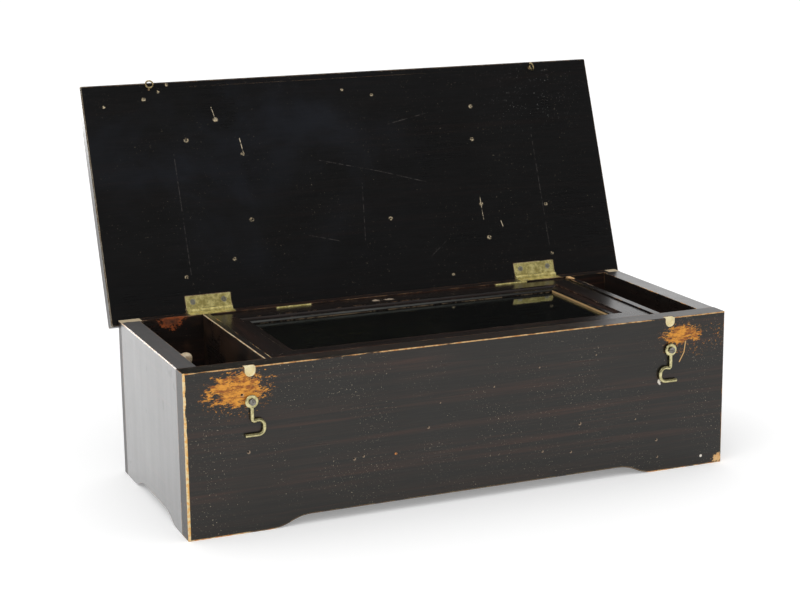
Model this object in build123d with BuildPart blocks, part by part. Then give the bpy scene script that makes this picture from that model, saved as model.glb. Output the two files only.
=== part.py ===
from build123d import *

import os
from math import atan2, cos, degrees, hypot, pi, radians, sin, sqrt

# Lever-wound cylinder musical box, standing open: a dark case on shallow arched feet, its lid leaning back,
# a glazed inner lid over the movement, and a pair of cabin hooks on the front.
# Millimetres. X runs along the case, Y from the front to the back, Z up from the floor.
# The origin is on the floor, under the middle of the whole object as it stands with its lid open.
os.makedirs("parts", exist_ok=True)

# ---------------------------------------------------------------- case sizes
case_length = 500.0
case_depth = 200.0
case_height = 140.0
front_thick = 19.0
back_thick = 10.0
end_thick = 17.0
arris = 0.8  # softened outer edges of the boards

arch_rise = 8.5  # the feet are what the arches leave
arch_run = 36.0
front_foot = 70.0
side_foot = 33.0

floor_board_thick = 8.0
floor_board_height = 10.0
corner_block_side = 30.0
corner_block_lift = 1.0

partition_thick = 6.0
left_bay = 58.0  # clear width of the winding lever's compartment
right_bay = 38.0  # clear width of the control levers' compartment
board_gap = 0.3  # what a piece that lifts out keeps from its neighbours

# ---------------------------------------------------------------- lid sizes
lid_thick = 12.0
lid_overhang_side = 6.0
lid_overhang_front = 9.5
lid_tail = 6.1  # the lid reaches this far past its hinge axis
lid_lean = 20.5  # degrees past upright where its tail meets the back

hinge_stand_off = 3.4  # axis behind the rear face
hinge_length = 42.5
hinge_from_end = 85.5  # middle of a hinge from the end of the case
lid_leaf_width = 14.5
case_leaf_width = 12.6
hinge_leaf_thick = 1.3
knuckle_radius = 2.6
hinge_pin_radius = 1.2
hinge_screw_spread = 29.2
hinge_screw_back = 9.0  # screw line from the axis
running_gap = 0.05  # radial clearance of a pin or arbor in its hole
side_gap = 0.15  # end play between knuckles
sweep_gap = 0.35  # what the wood keeps from a turning knuckle

eye_from_end = 57.0
eye_from_face = 3.2  # in front of the case when the lid is shut
eye_bend = 50.0  # one eye has been pushed outwards
eye_ring_radius = 3.35
eye_wire_radius = 0.75
eye_drop = 5.2

# ---------------------------------------------------------------- glazed lid sizes
frame_thick = 12.0
frame_sink = 1.3  # below the top of the case
frame_flat = 19.0
moulding_width = 8.5
moulding_drop = 2.1
rebate_edge = 3.2
rebate_width = 6.0
glass_thick = 2.0
bead_size = 4.0
frame_front_gap = 0.8
frame_side_gap = 0.5
frame_back_gap = 1.2
small_hinge_length = 33.0
small_hinge_places = (-89.0, 131.4)
small_leaf_thick = 0.45
small_leaf_drop = 9.0
small_knuckle_radius = 1.2
small_pin_radius = 0.55
ledge_size = 8.0

# ---------------------------------------------------------------- hooks
hook_from_end = 56.0
hook_height = 111.4
hook_wire_radius = 1.55
hook_ring_outer = 5.6
hook_ring_inner = 2.3
hook_ring_thick = 2.2
hook_gap = 0.7
hook_neck = 14.6  # from the screw down to the kink
hook_kink_radius = 1.8
hook_rise = 25.0  # degrees the wire climbs out of the kink
hook_bow_radius = 5.3
hook_side_run = 1.8
hook_tip_run = 11.0
hook_head_radius = 2.8
hook_head_thick = 1.1

# the notches that let the lid's eyes down
notch_width = 9.2
notch_drop = 8.3
notch_depth = 5.5

# ---------------------------------------------------------------- movement sizes
bed_lift = 9.0
bed_thick = 5.0
bed_left_clear = 8.0  # between the bed and the left partition
bed_right_clear = 39.0
bed_front = 24.0  # from the case's front face
bed_behind_barrel = 33.0  # from the barrel axis to the back of the bed
bed_foot_radius = 6.0
bed_foot_inset = 9.0
bed_foot_inset_ends = 24.0

axis_above_bed = 32.0
barrel_depth = 125.0  # barrel axis from the case's front face
arbor_radius = 3.0

great_teeth = 60
pinion_teeth = 15
great_module = 1.0
barrel_radius = 27.0
barrel_wall = 1.6
barrel_from_bed_end = 11.0
barrel_length = 34.0
great_thick = 5.0

cylinder_radius = 23.0
cylinder_from_great_wheel = 16.0
cylinder_from_bed_end = 55.0
cylinder_cap_thick = 2.5
pin_height = 1.0
pin_size = 0.6
pins_per_tooth = 4
comb_pitch = 3.05
comb_end_margin = 3.4  # bare cylinder past the last tooth
comb_slot = 0.6
comb_thick = 2.0
comb_gap = 0.35  # pins pass this close to the tooth tips
comb_heel = 12.0
comb_screw_inset = 13.5
bass_tooth = 27.0
treble_tooth = 14.0

drive_teeth = 60
drive_module = 0.75
drive_thick = 3.5
governor_teeth = 10
worm_wheel_teeth = 24
worm_wheel_module = 0.8
worm_pitch_radius = 2.2
worm_engage = 0.6
governor_arbor_radius = 1.5
fly_arbor_radius = 1.25
governor_back = 25.0  # governor arbor behind the cylinder axis

bearing_thick = 5.0
bearing_head = 9.0
bearing_foot = 22.0
bearing_flange = 12.0
bearing_flange_thick = 3.0
bearing_clear = 3.0

lever_plane = -212.0
lever_reach = 55.0  # to the middle of its knob
lever_lean = 3.8  # degrees forward of upright, where it rests
lever_thick = 4.0
lever_hub_radius = 11.0
knob_radius = 6.0
ratchet_teeth = 24
ratchet_radius = 10.0
ratchet_thick = 3.0
lever_nut_thick = 3.0

# ---------------------------------------------------------------- places that follow from the sizes
hinge_reach = lid_overhang_front + case_depth + hinge_stand_off  # axis to the lid's front edge
lean = radians(lid_lean)
lid_reach_back = hinge_stand_off + (hinge_reach - arris) * sin(lean) + lid_thick * cos(lean)
front_most = hook_gap + hook_ring_thick + hook_gap + hook_head_thick
front_y = -(case_depth + lid_reach_back - front_most) / 2  # the case's front face
inner_back = case_depth - back_thick
inner_half = case_length / 2 - end_thick
left_wall = -inner_half + left_bay  # partition faces nearest the ends
right_wall = inner_half - right_bay
bay_left = left_wall + partition_thick  # the movement's room
bay_right = right_wall - partition_thick
floor_top = floor_board_height + floor_board_thick
bed_bottom = floor_top + bed_lift
bed_top = bed_bottom + bed_thick
axis_height = bed_top + axis_above_bed

gear_distance = great_module * (great_teeth + pinion_teeth) / 2
cylinder_depth = barrel_depth - gear_distance
drive_distance = drive_module * (drive_teeth + governor_teeth) / 2
governor_rise = sqrt(drive_distance**2 - governor_back**2)
governor_depth = cylinder_depth + governor_back
governor_height = axis_height + governor_rise
drive_angle = degrees(atan2(governor_rise, governor_back))
worm_distance = worm_wheel_module * worm_wheel_teeth / 2 + worm_pitch_radius
fly_depth = governor_depth + worm_distance

bed_left = bay_left + bed_left_clear
bed_right = bay_right - bed_right_clear
bed_back = barrel_depth + bed_behind_barrel
barrel_left = bed_left + barrel_from_bed_end
cylinder_left = barrel_left + barrel_length + great_thick + cylinder_from_great_wheel
cylinder_right = bed_right - cylinder_from_bed_end
cylinder_middle = (cylinder_left + cylinder_right) / 2
comb_teeth = int((cylinder_right - cylinder_left - 2 * comb_end_margin) / comb_pitch)
hinge_place = case_length / 2 - hinge_from_end
eye_place = case_length / 2 - eye_from_end
hook_place = case_length / 2 - hook_from_end

frame_top = case_height - frame_sink
frame_bottom = frame_top - frame_thick
frame_left = bay_left + frame_side_gap
frame_right = bay_right - frame_side_gap
frame_front = front_thick + frame_front_gap
frame_back = inner_back - frame_back_gap
frame_bar = frame_flat + moulding_width
small_axis_depth = (inner_back + frame_back) / 2
small_axis_height = frame_top + 0.05


# ---------------------------------------------------------------- planes
def flat(height):
    """A level plane: sketches use X and the depth behind the case's front face."""
    return Plane((0, front_y, height))


def upright(depth):
    """A plane across the case at a depth, facing the front: sketches use X and height."""
    return Plane((0, front_y + depth, 0), x_dir=(1, 0, 0), z_dir=(0, -1, 0))


def endwise(x):
    """A plane square to X, facing right: sketches use the depth and the height."""
    return Plane((x, front_y, 0), x_dir=(0, 1, 0), z_dir=(1, 0, 0))


def axle(x, depth, height):
    """A plane square to X centred on an arbor."""
    return Plane((x, front_y + depth, height), x_dir=(0, 1, 0), z_dir=(1, 0, 0))


def spot(x, depth, height, facing):
    """A small plane at a place, for a screw that faces the given way."""
    return Plane((x, front_y + depth, height), z_dir=facing)


# the open lid: local Y runs up the lid from the hinge axis, local Z out of its inner face
hinge_axis = (0, front_y + case_depth + hinge_stand_off, case_height)
lid_plane = Plane(hinge_axis, x_dir=(1, 0, 0), z_dir=(0, -cos(lean), sin(lean)))
case_leaf_plane = Plane(hinge_axis, x_dir=(-1, 0, 0), z_dir=(0, 0, 1))


def lid_spot(x, along, above=0.0):
    """A plane on the lid's inner face, or above it, facing out of it."""
    place = lid_plane.from_local_coords(Vector(x, along, above))
    return Plane(place, x_dir=(1, 0, 0), z_dir=lid_plane.z_dir)


# ---------------------------------------------------------------- shared shapes
def arched_outline(low, high, foot):
    """A board's face with feet at both ends and a shallow arch between them."""
    crown_low = low + foot + arch_run
    crown_high = high - foot - arch_run
    with BuildLine() as outline:
        Polyline((low + foot, 0), (low, 0), (low, case_height), (high, case_height))
        Polyline((high, case_height), (high, 0), (high - foot, 0))
        TangentArc((high - foot, 0), (high - foot - arch_run / 2, arch_rise / 2), tangent=(-1, 0))
        TangentArc((crown_high, arch_rise), (high - foot - arch_run / 2, arch_rise / 2), tangent=(1, 0))
        Line((crown_high, arch_rise), (crown_low, arch_rise))
        TangentArc((crown_low, arch_rise), (low + foot + arch_run / 2, arch_rise / 2), tangent=(-1, 0))
        TangentArc((low + foot, 0), (low + foot + arch_run / 2, arch_rise / 2), tangent=(1, 0))
    return outline.line


def gear_outline(teeth, module, addendum=0.8, dedendum=1.05, start=0.0, width=0.42):
    """A toothed wheel's outline: straight-flanked teeth, slim enough to run free."""
    pitch_radius = module * teeth / 2
    tip = pitch_radius + addendum * module
    root = pitch_radius - dedendum * module
    step = 2 * pi / teeth
    corners = []
    for tooth in range(teeth):
        middle = radians(start) + tooth * step
        for radius, half in ((root, 0.30), (tip, 0.10), (tip, -0.10), (root, -0.30)):
            angle = middle - half * step * width / 0.42
            corners.append((radius * cos(angle), radius * sin(angle)))
    with BuildLine() as outline:
        Polyline(*corners, close=True)
    return outline.line


def ratchet_outline(teeth, tip, depth):
    """A saw-toothed wheel's outline."""
    step = 2 * pi / teeth
    corners = []
    for tooth in range(teeth):
        corners.append((tip * cos(tooth * step), tip * sin(tooth * step)))
        corners.append(((tip - depth) * cos(tooth * step), (tip - depth) * sin(tooth * step)))
    with BuildLine() as outline:
        Polyline(*corners, close=True)
    return outline.line


def disc(plane, radius):
    """A round face on the plane, for the helpers below to extrude."""
    with BuildSketch(plane) as round_face:
        Circle(radius)
    return round_face.sketch


def add_sunk_screw(plane, head_radius, head_thick, shank_radius, shank_length, slot_turn):
    """A slotted screw whose cone head fills its countersink, flush with the plane."""
    narrowing = degrees(atan2(head_radius - shank_radius, head_thick))
    extrude(disc(plane, head_radius), amount=-head_thick, taper=narrowing)
    extrude(disc(plane.offset(-head_thick), shank_radius), amount=-shank_length)
    with BuildSketch(plane) as slot:
        Rectangle(3 * head_radius, head_radius * 0.28, rotation=slot_turn)
    extrude(slot.sketch, amount=-head_thick * 0.55, mode=Mode.SUBTRACT)


def add_cheese_screw(plane, head_radius, head_thick, shank_radius, shank_length, slot_turn):
    """A slotted screw whose round head stands on the plane."""
    extrude(disc(plane, head_radius), amount=head_thick)
    extrude(disc(plane, shank_radius), amount=-shank_length)
    with BuildSketch(plane.offset(head_thick)) as slot:
        Rectangle(3 * head_radius, head_radius * 0.28, rotation=slot_turn)
    extrude(slot.sketch, amount=-head_thick * 0.55, mode=Mode.SUBTRACT)


def cut_screw_hole(plane, shank_radius, depth):
    """The pilot hole for a screw's shank."""
    extrude(disc(plane, shank_radius + running_gap), amount=-depth - running_gap, mode=Mode.SUBTRACT)


def cut_countersink(plane, head_radius, head_thick, shank_radius):
    """The countersink that a sunk head fills."""
    narrowing = degrees(atan2(head_radius - shank_radius, head_thick))
    extrude(disc(plane, head_radius), amount=-head_thick, taper=narrowing, mode=Mode.SUBTRACT)


# ---------------------------------------------------------------- places used by more than one piece
wood_screw_radius = 1.2
bush_radius = 6.0
wood_screw_length = 7.0
leaf_head_radius = 2.6
hinge_centres = (-hinge_place, hinge_place)
hinge_screw_xs = [c + s * hinge_screw_spread / 2 for c in hinge_centres for s in (-1, 1)]
case_screw_depth = case_depth + hinge_stand_off - hinge_screw_back
case_leaf_screws = [spot(x, case_screw_depth, case_height, (0, 0, 1)) for x in hinge_screw_xs]
lid_leaf_screws = [lid_spot(x, hinge_screw_back) for x in hinge_screw_xs]
hook_screw_length = 12.0
hook_pivots = (-hook_place, hook_place)
eye_along = hinge_stand_off + case_depth + eye_from_face
eye_shank_length = 7.0

slot_length = 22.0
slot_height = 6.0
stop_depth = 62.0  # where the two control levers pass the right partition
change_depth = 38.0
lever_slot_height = bed_top + 56.0


# ---------------------------------------------------------------- case: the boards
# The front: feet and arch below, a notch for each of the lid's eyes above, pilot holes for the hooks.
with BuildPart() as front_panel:
    with BuildSketch(upright(front_thick)):
        with BuildLine():
            add(arched_outline(-case_length / 2, case_length / 2, front_foot))
        make_face()
    extrude(amount=front_thick)
    chamfer(front_panel.faces().sort_by(Axis.Y)[0].edges(), arris)
    with BuildSketch(upright(0)):
        with Locations((-hook_place, case_height), (hook_place, case_height)):
            SlotOverall(2 * notch_drop, notch_width, rotation=90)
    extrude(amount=-notch_depth, mode=Mode.SUBTRACT)
    for x in hook_pivots:
        with BuildSketch(upright(0)):
            with Locations((x, hook_height)):
                Circle(wood_screw_radius + running_gap)
        extrude(amount=-hook_screw_length - running_gap, mode=Mode.SUBTRACT)
front_panel.part.label = "front_panel"
export_step(front_panel.part, "parts/front_panel.step")


# The back: the same arch, beds for the hinge leaves, and room for the small hinges' knuckles.
with BuildPart() as back_panel:
    with BuildSketch(upright(case_depth)):
        with BuildLine():
            add(arched_outline(-case_length / 2, case_length / 2, front_foot))
        make_face()
    extrude(amount=back_thick)
    chamfer(back_panel.faces().sort_by(Axis.Y)[-1].edges().sort_by(Axis.Z)[:-1], arris)
    leaf_front = case_depth + hinge_stand_off - case_leaf_width
    with BuildSketch(flat(case_height)):
        for x in hinge_centres:
            with Locations((x, (leaf_front + case_depth) / 2)):
                Rectangle(hinge_length, case_depth - leaf_front)
    extrude(amount=-hinge_leaf_thick, mode=Mode.SUBTRACT)
    for x in hinge_centres:
        with BuildSketch(endwise(x - hinge_length / 2 - sweep_gap)):
            with Locations((case_depth + hinge_stand_off, case_height)):
                Circle(knuckle_radius + sweep_gap)
        extrude(amount=hinge_length + 2 * sweep_gap, mode=Mode.SUBTRACT)
    for x in small_hinge_places:
        with BuildSketch(endwise(x - small_hinge_length / 2 - sweep_gap)):
            with Locations((small_axis_depth, small_axis_height)):
                Circle(small_knuckle_radius + sweep_gap)
        extrude(amount=small_hinge_length + 2 * sweep_gap, mode=Mode.SUBTRACT)
    for plane in case_leaf_screws:
        cut_screw_hole(plane.offset(-hinge_leaf_thick), wood_screw_radius, wood_screw_length)
back_panel.part.label = "back_panel"
export_step(back_panel.part, "parts/back_panel.step")


# The two ends, between the front and the back.
for side, name in ((-1, "left_end_panel"), (1, "right_end_panel")):
    outer = side * case_length / 2
    with BuildPart() as end_panel:
        with BuildSketch(endwise(min(outer, outer - side * end_thick))):
            with BuildLine():
                add(arched_outline(0, case_depth, side_foot))
            make_face()
            with Locations((0, 0)):
                Rectangle(front_thick, case_height, align=(Align.MIN, Align.MIN), mode=Mode.SUBTRACT)
            with Locations((inner_back, 0)):
                Rectangle(back_thick, case_height, align=(Align.MIN, Align.MIN), mode=Mode.SUBTRACT)
        extrude(amount=end_thick)
        outer_face = end_panel.faces().sort_by(Axis.X)[0 if side < 0 else -1]
        chamfer(outer_face.edges().filter_by(Axis.Y).sort_by(Axis.Z)[-1:], arris)
    end_panel.part.label = name
    export_step(end_panel.part, f"parts/{name}.step")


# The floor of the case, set above the arches.
with BuildPart() as floor_board:
    with BuildSketch(flat(floor_board_height)):
        with Locations((0, front_thick)):
            Rectangle(2 * inner_half, inner_back - front_thick, align=(Align.CENTER, Align.MIN))
    extrude(amount=floor_board_thick)
floor_board.part.label = "floor_board"
export_step(floor_board.part, "parts/floor_board.step")
with BuildPart() as corner_blocks:
    with BuildSketch(flat(corner_block_lift)):
        for x_side in (-1, 1):
            for depth, way in ((front_thick, 1), (inner_back, -1)):
                with BuildLine():
                    x = x_side * inner_half
                    Polyline(
                        (x, depth),
                        (x - x_side * corner_block_side, depth),
                        (x, depth + way * corner_block_side),
                        close=True,
                    )
                make_face()
    extrude(amount=floor_board_height - corner_block_lift)
corner_blocks.part.label = "corner_blocks"
export_step(corner_blocks.part, "parts/corner_blocks.step")


# Two thin walls between the movement's room and the lever compartments.
room_depth = inner_back - front_thick
with BuildPart() as left_partition:
    with BuildSketch(endwise(left_wall)):
        with Locations((front_thick, floor_top)):
            Rectangle(room_depth, case_height - floor_top, align=(Align.MIN, Align.MIN))
        with Locations((barrel_depth, axis_height)):
            Circle(bush_radius, mode=Mode.SUBTRACT)
    extrude(amount=partition_thick)
left_partition.part.label = "left_partition"
export_step(left_partition.part, "parts/left_partition.step")
with BuildPart() as right_partition:
    with BuildSketch(endwise(bay_right)):
        with Locations((front_thick, floor_top)):
            Rectangle(room_depth, case_height - floor_top, align=(Align.MIN, Align.MIN))
        with Locations((stop_depth, lever_slot_height), (change_depth, lever_slot_height)):
            SlotOverall(slot_length, slot_height, mode=Mode.SUBTRACT)
    extrude(amount=partition_thick)
right_partition.part.label = "right_partition"
export_step(right_partition.part, "parts/right_partition.step")
with BuildPart() as frame_ledges:
    with BuildSketch(flat(frame_bottom)):
        with Locations(((bay_left + bay_right) / 2, front_thick)):
            Rectangle(bay_right - bay_left, ledge_size, align=(Align.CENTER, Align.MIN))
        for x, side in ((bay_left, 1), (bay_right, -1)):
            with Locations((x + side * ledge_size / 2, front_thick + ledge_size)):
                Rectangle(ledge_size, room_depth - ledge_size, align=(Align.CENTER, Align.MIN))
    extrude(amount=-ledge_size)
frame_ledges.part.label = "frame_ledges"
export_step(frame_ledges.part, "parts/frame_ledges.step")


# ---------------------------------------------------------------- lid
# The flat lid as it leans, with beds for its hinge leaves and a slot round each knuckle.
with BuildPart() as lid:
    with BuildSketch(lid_plane):
        with Locations((0, (hinge_reach - lid_tail) / 2)):
            Rectangle(case_length + 2 * lid_overhang_side, hinge_reach + lid_tail)
    extrude(amount=-lid_thick)
    chamfer(lid.edges(), arris)
    with BuildSketch(lid_plane):
        for x in hinge_centres:
            with Locations((x, lid_leaf_width / 2)):
                Rectangle(hinge_length, lid_leaf_width)
    extrude(amount=-hinge_leaf_thick, mode=Mode.SUBTRACT)
    with BuildSketch(lid_plane):
        for x in hinge_centres:
            with Locations((x, 0)):
                Rectangle(hinge_length + 2 * sweep_gap, 2 * (knuckle_radius + sweep_gap))
    extrude(amount=-knuckle_radius - sweep_gap, mode=Mode.SUBTRACT)
    for plane in lid_leaf_screws:
        cut_screw_hole(plane.offset(-hinge_leaf_thick), wood_screw_radius, wood_screw_length)
    for x in (-eye_place, eye_place):
        cut_screw_hole(lid_spot(x, eye_along), eye_wire_radius, eye_shank_length)
lid.part.label = "lid"
export_step(lid.part, "parts/lid.step")


def add_leaf(centre, leaf_plane, width, own_knuckles):
    """A hinge leaf let into the wood under leaf_plane, whose X is the axis and whose Y runs over the wood."""
    reach = knuckle_radius + sweep_gap
    with BuildSketch(leaf_plane) as plate:
        with Locations((centre, (width + reach) / 2)):
            Rectangle(hinge_length, width - reach)
        for low, high in own_knuckles:
            with Locations((centre + (low + high) / 2, reach / 2)):
                Rectangle(high - low, reach)
    extrude(plate.sketch, amount=-hinge_leaf_thick)
    for low, high in own_knuckles:
        start = Plane(leaf_plane.from_local_coords(Vector(centre + low, 0, 0)), z_dir=leaf_plane.x_dir)
        extrude(disc(start, knuckle_radius), amount=high - low)
        extrude(disc(start, hinge_pin_radius + running_gap), amount=high - low, mode=Mode.SUBTRACT)


# Two butt hinges: each has a leaf on the case, a leaf on the lid, a pin and four sunk screws.
third = hinge_length / 3
middle_knuckle = [(-third / 2, third / 2)]
outer_knuckles = [(-hinge_length / 2, -third / 2 - side_gap), (third / 2 + side_gap, hinge_length / 2)]
with BuildPart() as hinge_case_leaves:
    for centre in hinge_centres:
        add_leaf(centre, case_leaf_plane, case_leaf_width, middle_knuckle)
    for plane in case_leaf_screws:
        cut_countersink(plane, leaf_head_radius, hinge_leaf_thick, wood_screw_radius)
hinge_case_leaves.part.label = "hinge_case_leaves"
export_step(hinge_case_leaves.part, "parts/hinge_case_leaves.step")
with BuildPart() as hinge_lid_leaves:
    for centre in hinge_centres:
        add_leaf(centre, lid_plane, lid_leaf_width, outer_knuckles)
    for plane in lid_leaf_screws:
        cut_countersink(plane, leaf_head_radius, hinge_leaf_thick, wood_screw_radius)
hinge_lid_leaves.part.label = "hinge_lid_leaves"
export_step(hinge_lid_leaves.part, "parts/hinge_lid_leaves.step")
with BuildPart() as hinge_pins:
    for centre in hinge_centres:
        with BuildSketch(axle(centre - hinge_length / 2, case_depth + hinge_stand_off, case_height)):
            Circle(hinge_pin_radius)
        extrude(amount=hinge_length)
hinge_pins.part.label = "hinge_pins"
export_step(hinge_pins.part, "parts/hinge_pins.step")
with BuildPart() as hinge_case_screws:
    for number, plane in enumerate(case_leaf_screws):
        turn = 35 * number
        add_sunk_screw(plane, leaf_head_radius, hinge_leaf_thick, wood_screw_radius, wood_screw_length, turn)
hinge_case_screws.part.label = "hinge_case_screws"
export_step(hinge_case_screws.part, "parts/hinge_case_screws.step")
with BuildPart() as hinge_lid_screws:
    for number, plane in enumerate(lid_leaf_screws):
        turn = 50 * number
        add_sunk_screw(plane, leaf_head_radius, hinge_leaf_thick, wood_screw_radius, wood_screw_length, turn)
hinge_lid_screws.part.label = "hinge_lid_screws"
export_step(hinge_lid_screws.part, "parts/hinge_lid_screws.step")


# The two wire eyes under the lid's front edge, which the hooks catch.
with BuildPart() as lid_eyes:
    for x, bend, turn in ((-eye_place, radians(eye_bend), radians(65.0)), (eye_place, 0.0, radians(12.0))):
        foot = lid_spot(x, eye_along)
        leaning = foot.z_dir * cos(bend) + foot.y_dir * sin(bend)
        crossing = foot.y_dir * cos(bend) - foot.z_dir * sin(bend)
        ring_axis = foot.x_dir * cos(turn) + crossing * sin(turn)
        stem = Plane(foot.offset(0.45).origin, x_dir=ring_axis, z_dir=leaning)
        with BuildSketch(foot):
            Circle(eye_wire_radius)
        extrude(amount=-eye_shank_length)
        with BuildSketch(foot):
            Circle(eye_wire_radius)
        extrude(amount=0.7)
        with BuildSketch(stem):
            Circle(eye_wire_radius)
        extrude(amount=eye_drop - eye_ring_radius)
        ring_middle = stem.offset(eye_drop).origin
        with BuildSketch(Plane(ring_middle, x_dir=stem.z_dir, z_dir=stem.y_dir)):
            with Locations((eye_ring_radius, 0)):
                Circle(eye_wire_radius)
        revolve(axis=Axis(ring_middle, stem.x_dir))
lid_eyes.part.label = "lid_eyes"
export_step(lid_eyes.part, "parts/lid_eyes.step")


# ---------------------------------------------------------------- glazed inner lid
# Four mitred bars with a moulded inner edge, the pane under its lip and the beads that hold it.
corners = [
    (frame_left, frame_front),
    (frame_right, frame_front),
    (frame_right, frame_back),
    (frame_left, frame_back),
]
ways = [(1, 0), (0, 1), (-1, 0), (0, -1)]
names = [f"glass_frame_{bar}" for bar in ("front_rail", "right_stile", "rear_rail", "left_stile")]
lengths = [frame_right - frame_left, frame_back - frame_front] * 2
lip_bottom = frame_thick - moulding_drop - rebate_edge
for corner, way, name, length in zip(corners, ways, names, lengths):
    origin = Vector(corner[0], front_y + corner[1], frame_bottom)
    along = Vector(way[0], way[1], 0)
    inward = Vector(-way[1], way[0], 0)
    with BuildPart() as bar:
        with BuildSketch(Plane(origin, x_dir=inward, z_dir=along)):
            with BuildLine():
                Polyline(
                    (frame_flat + 0.8, frame_thick - 0.7),
                    (frame_flat + 0.8, frame_thick),
                    (0, frame_thick),
                    (0, 0),
                    (frame_bar - rebate_width, 0),
                    (frame_bar - rebate_width, lip_bottom),
                    (frame_bar, lip_bottom),
                    (frame_bar, frame_thick - moulding_drop),
                    (frame_bar - 0.8, frame_thick - moulding_drop),
                )
                RadiusArc(
                    (frame_bar - 0.8, frame_thick - moulding_drop),
                    (frame_flat + 0.8, frame_thick - 0.7),
                    14.0,
                )
            make_face()
        extrude(amount=length)
        split(bisect_by=Plane(origin, z_dir=along - inward), keep=Keep.TOP)
        split(bisect_by=Plane(origin + along * length, z_dir=-along - inward), keep=Keep.TOP)
        if name == "glass_frame_rear_rail":
            for x in small_hinge_places:
                with BuildSketch(endwise(x - small_hinge_length / 2 - sweep_gap)):
                    with Locations((small_axis_depth, small_axis_height)):
                        Circle(small_knuckle_radius + sweep_gap)
                extrude(amount=small_hinge_length + 2 * sweep_gap, mode=Mode.SUBTRACT)
    bar.part.label = name
    export_step(bar.part, f"parts/{name}.step")

pane_inset = frame_bar - rebate_width + 0.2
pane_length = frame_right - frame_left - 2 * pane_inset
pane_width = frame_back - frame_front - 2 * pane_inset
middle = ((frame_left + frame_right) / 2, (frame_front + frame_back) / 2)
with BuildPart() as glass_pane:
    with BuildSketch(flat(frame_bottom + lip_bottom)):
        with Locations(middle):
            Rectangle(pane_length, pane_width)
    extrude(amount=-glass_thick)
glass_pane.part.label = "glass_pane"
export_step(glass_pane.part, "parts/glass_pane.step")
with BuildPart() as glazing_beads:
    with BuildSketch(flat(frame_bottom + lip_bottom - glass_thick)):
        with Locations(middle):
            Rectangle(pane_length, pane_width)
            Rectangle(pane_length - 2 * bead_size, pane_width - 2 * bead_size, mode=Mode.SUBTRACT)
            for x_side in (-1, 1):
                with Locations((x_side * (pane_length - bead_size) / 2, 0)):
                    Rectangle(bead_size, pane_width - 2 * bead_size, mode=Mode.SUBTRACT)
                    Rectangle(bead_size, pane_width - 2 * bead_size - 0.4)
    extrude(amount=-lip_bottom + glass_thick + 0.6)
glazing_beads.part.label = "glazing_beads"
export_step(glazing_beads.part, "parts/glazing_beads.step")


# Two thin brass hinges behind the glazed lid: one leaf on the back, one on the rear rail.
small_third = small_hinge_length / 3
reach = small_knuckle_radius + sweep_gap
for name, own, face, side in (
    ("small_hinge_case_leaves", [(-small_third / 2, small_third / 2)], inner_back, -1),
    (
        "small_hinge_frame_leaves",
        [
            (-small_hinge_length / 2, -small_third / 2 - side_gap),
            (small_third / 2 + side_gap, small_hinge_length / 2),
        ],
        frame_back,
        1,
    ),
):
    with BuildPart() as leaves:
        for x in small_hinge_places:
            with BuildSketch(upright(face)):
                with Locations((x, small_axis_height - (small_leaf_drop + reach) / 2)):
                    Rectangle(small_hinge_length, small_leaf_drop - reach)
                for low, high in own:
                    with Locations((x + (low + high) / 2, small_axis_height - reach / 2)):
                        Rectangle(high - low, reach)
            extrude(amount=-side * small_leaf_thick)
            for low, high in own:
                with BuildSketch(axle(x + low, small_axis_depth, small_axis_height)):
                    Circle(small_knuckle_radius)
                extrude(amount=high - low)
                with BuildSketch(axle(x + low, small_axis_depth, small_axis_height)):
                    Circle(small_pin_radius + running_gap)
                extrude(amount=high - low, mode=Mode.SUBTRACT)
            if side < 0:
                with BuildSketch(axle(x - small_hinge_length / 2, small_axis_depth, small_axis_height)):
                    Circle(small_pin_radius)
                extrude(amount=small_hinge_length)
    leaves.part.label = name
    export_step(leaves.part, f"parts/{name}.step")


# ---------------------------------------------------------------- hooks
# Two cabin hooks, mirrored, hanging from screws: ring, straight neck, and a bow that ends in a long tip.
ring_middle = hook_gap + hook_ring_thick / 2
for side, name in ((1, "hook_left"), (-1, "hook_right")):
    x = -side * hook_place
    face = Plane((x, front_y - ring_middle, hook_height), x_dir=(side, 0, 0), z_dir=(0, -side, 0))
    with BuildPart() as hook:
        with BuildSketch(face.offset(-hook_ring_thick / 2)):
            Circle(hook_ring_outer)
        extrude(amount=hook_ring_thick)
        chamfer(hook.edges(), 0.6)
        with BuildSketch(face.offset(-hook_ring_thick / 2)):
            Circle(hook_ring_inner)
        extrude(amount=hook_ring_thick, mode=Mode.SUBTRACT)
        with BuildLine(face) as wire:
            neck = Line((0, -hook_ring_outer + 1.0), (0, -hook_neck))
            kink = JernArc(neck @ 1, (0, -1), hook_kink_radius, 90 + hook_rise)
            rising = (cos(radians(hook_rise)), sin(radians(hook_rise)))
            over = JernArc(kink @ 1, rising, hook_bow_radius, -90 - hook_rise)
            side_run = Line(over @ 1, over @ 1 - face.y_dir * hook_side_run)
            under = JernArc(side_run @ 1, (0, -1), hook_bow_radius, -90)
            Line(under @ 1, under @ 1 - face.x_dir * hook_tip_run)
        with BuildSketch(Plane(wire.line @ 0, z_dir=wire.line % 0)):
            Circle(hook_wire_radius)
        sweep(path=wire.line)
    hook.part.label = name
    export_step(hook.part, f"parts/{name}.step")
with BuildPart() as hook_screws:
    for number, x in enumerate(hook_pivots):
        head = spot(x, -hook_gap - hook_ring_thick - hook_gap, hook_height, (0, -1, 0))
        length = hook_gap + hook_ring_thick + hook_gap + hook_screw_length
        add_cheese_screw(head, hook_head_radius, hook_head_thick, wood_screw_radius, length, 20 + 60 * number)
hook_screws.part.label = "hook_screws"
export_step(hook_screws.part, "parts/hook_screws.step")


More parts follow.
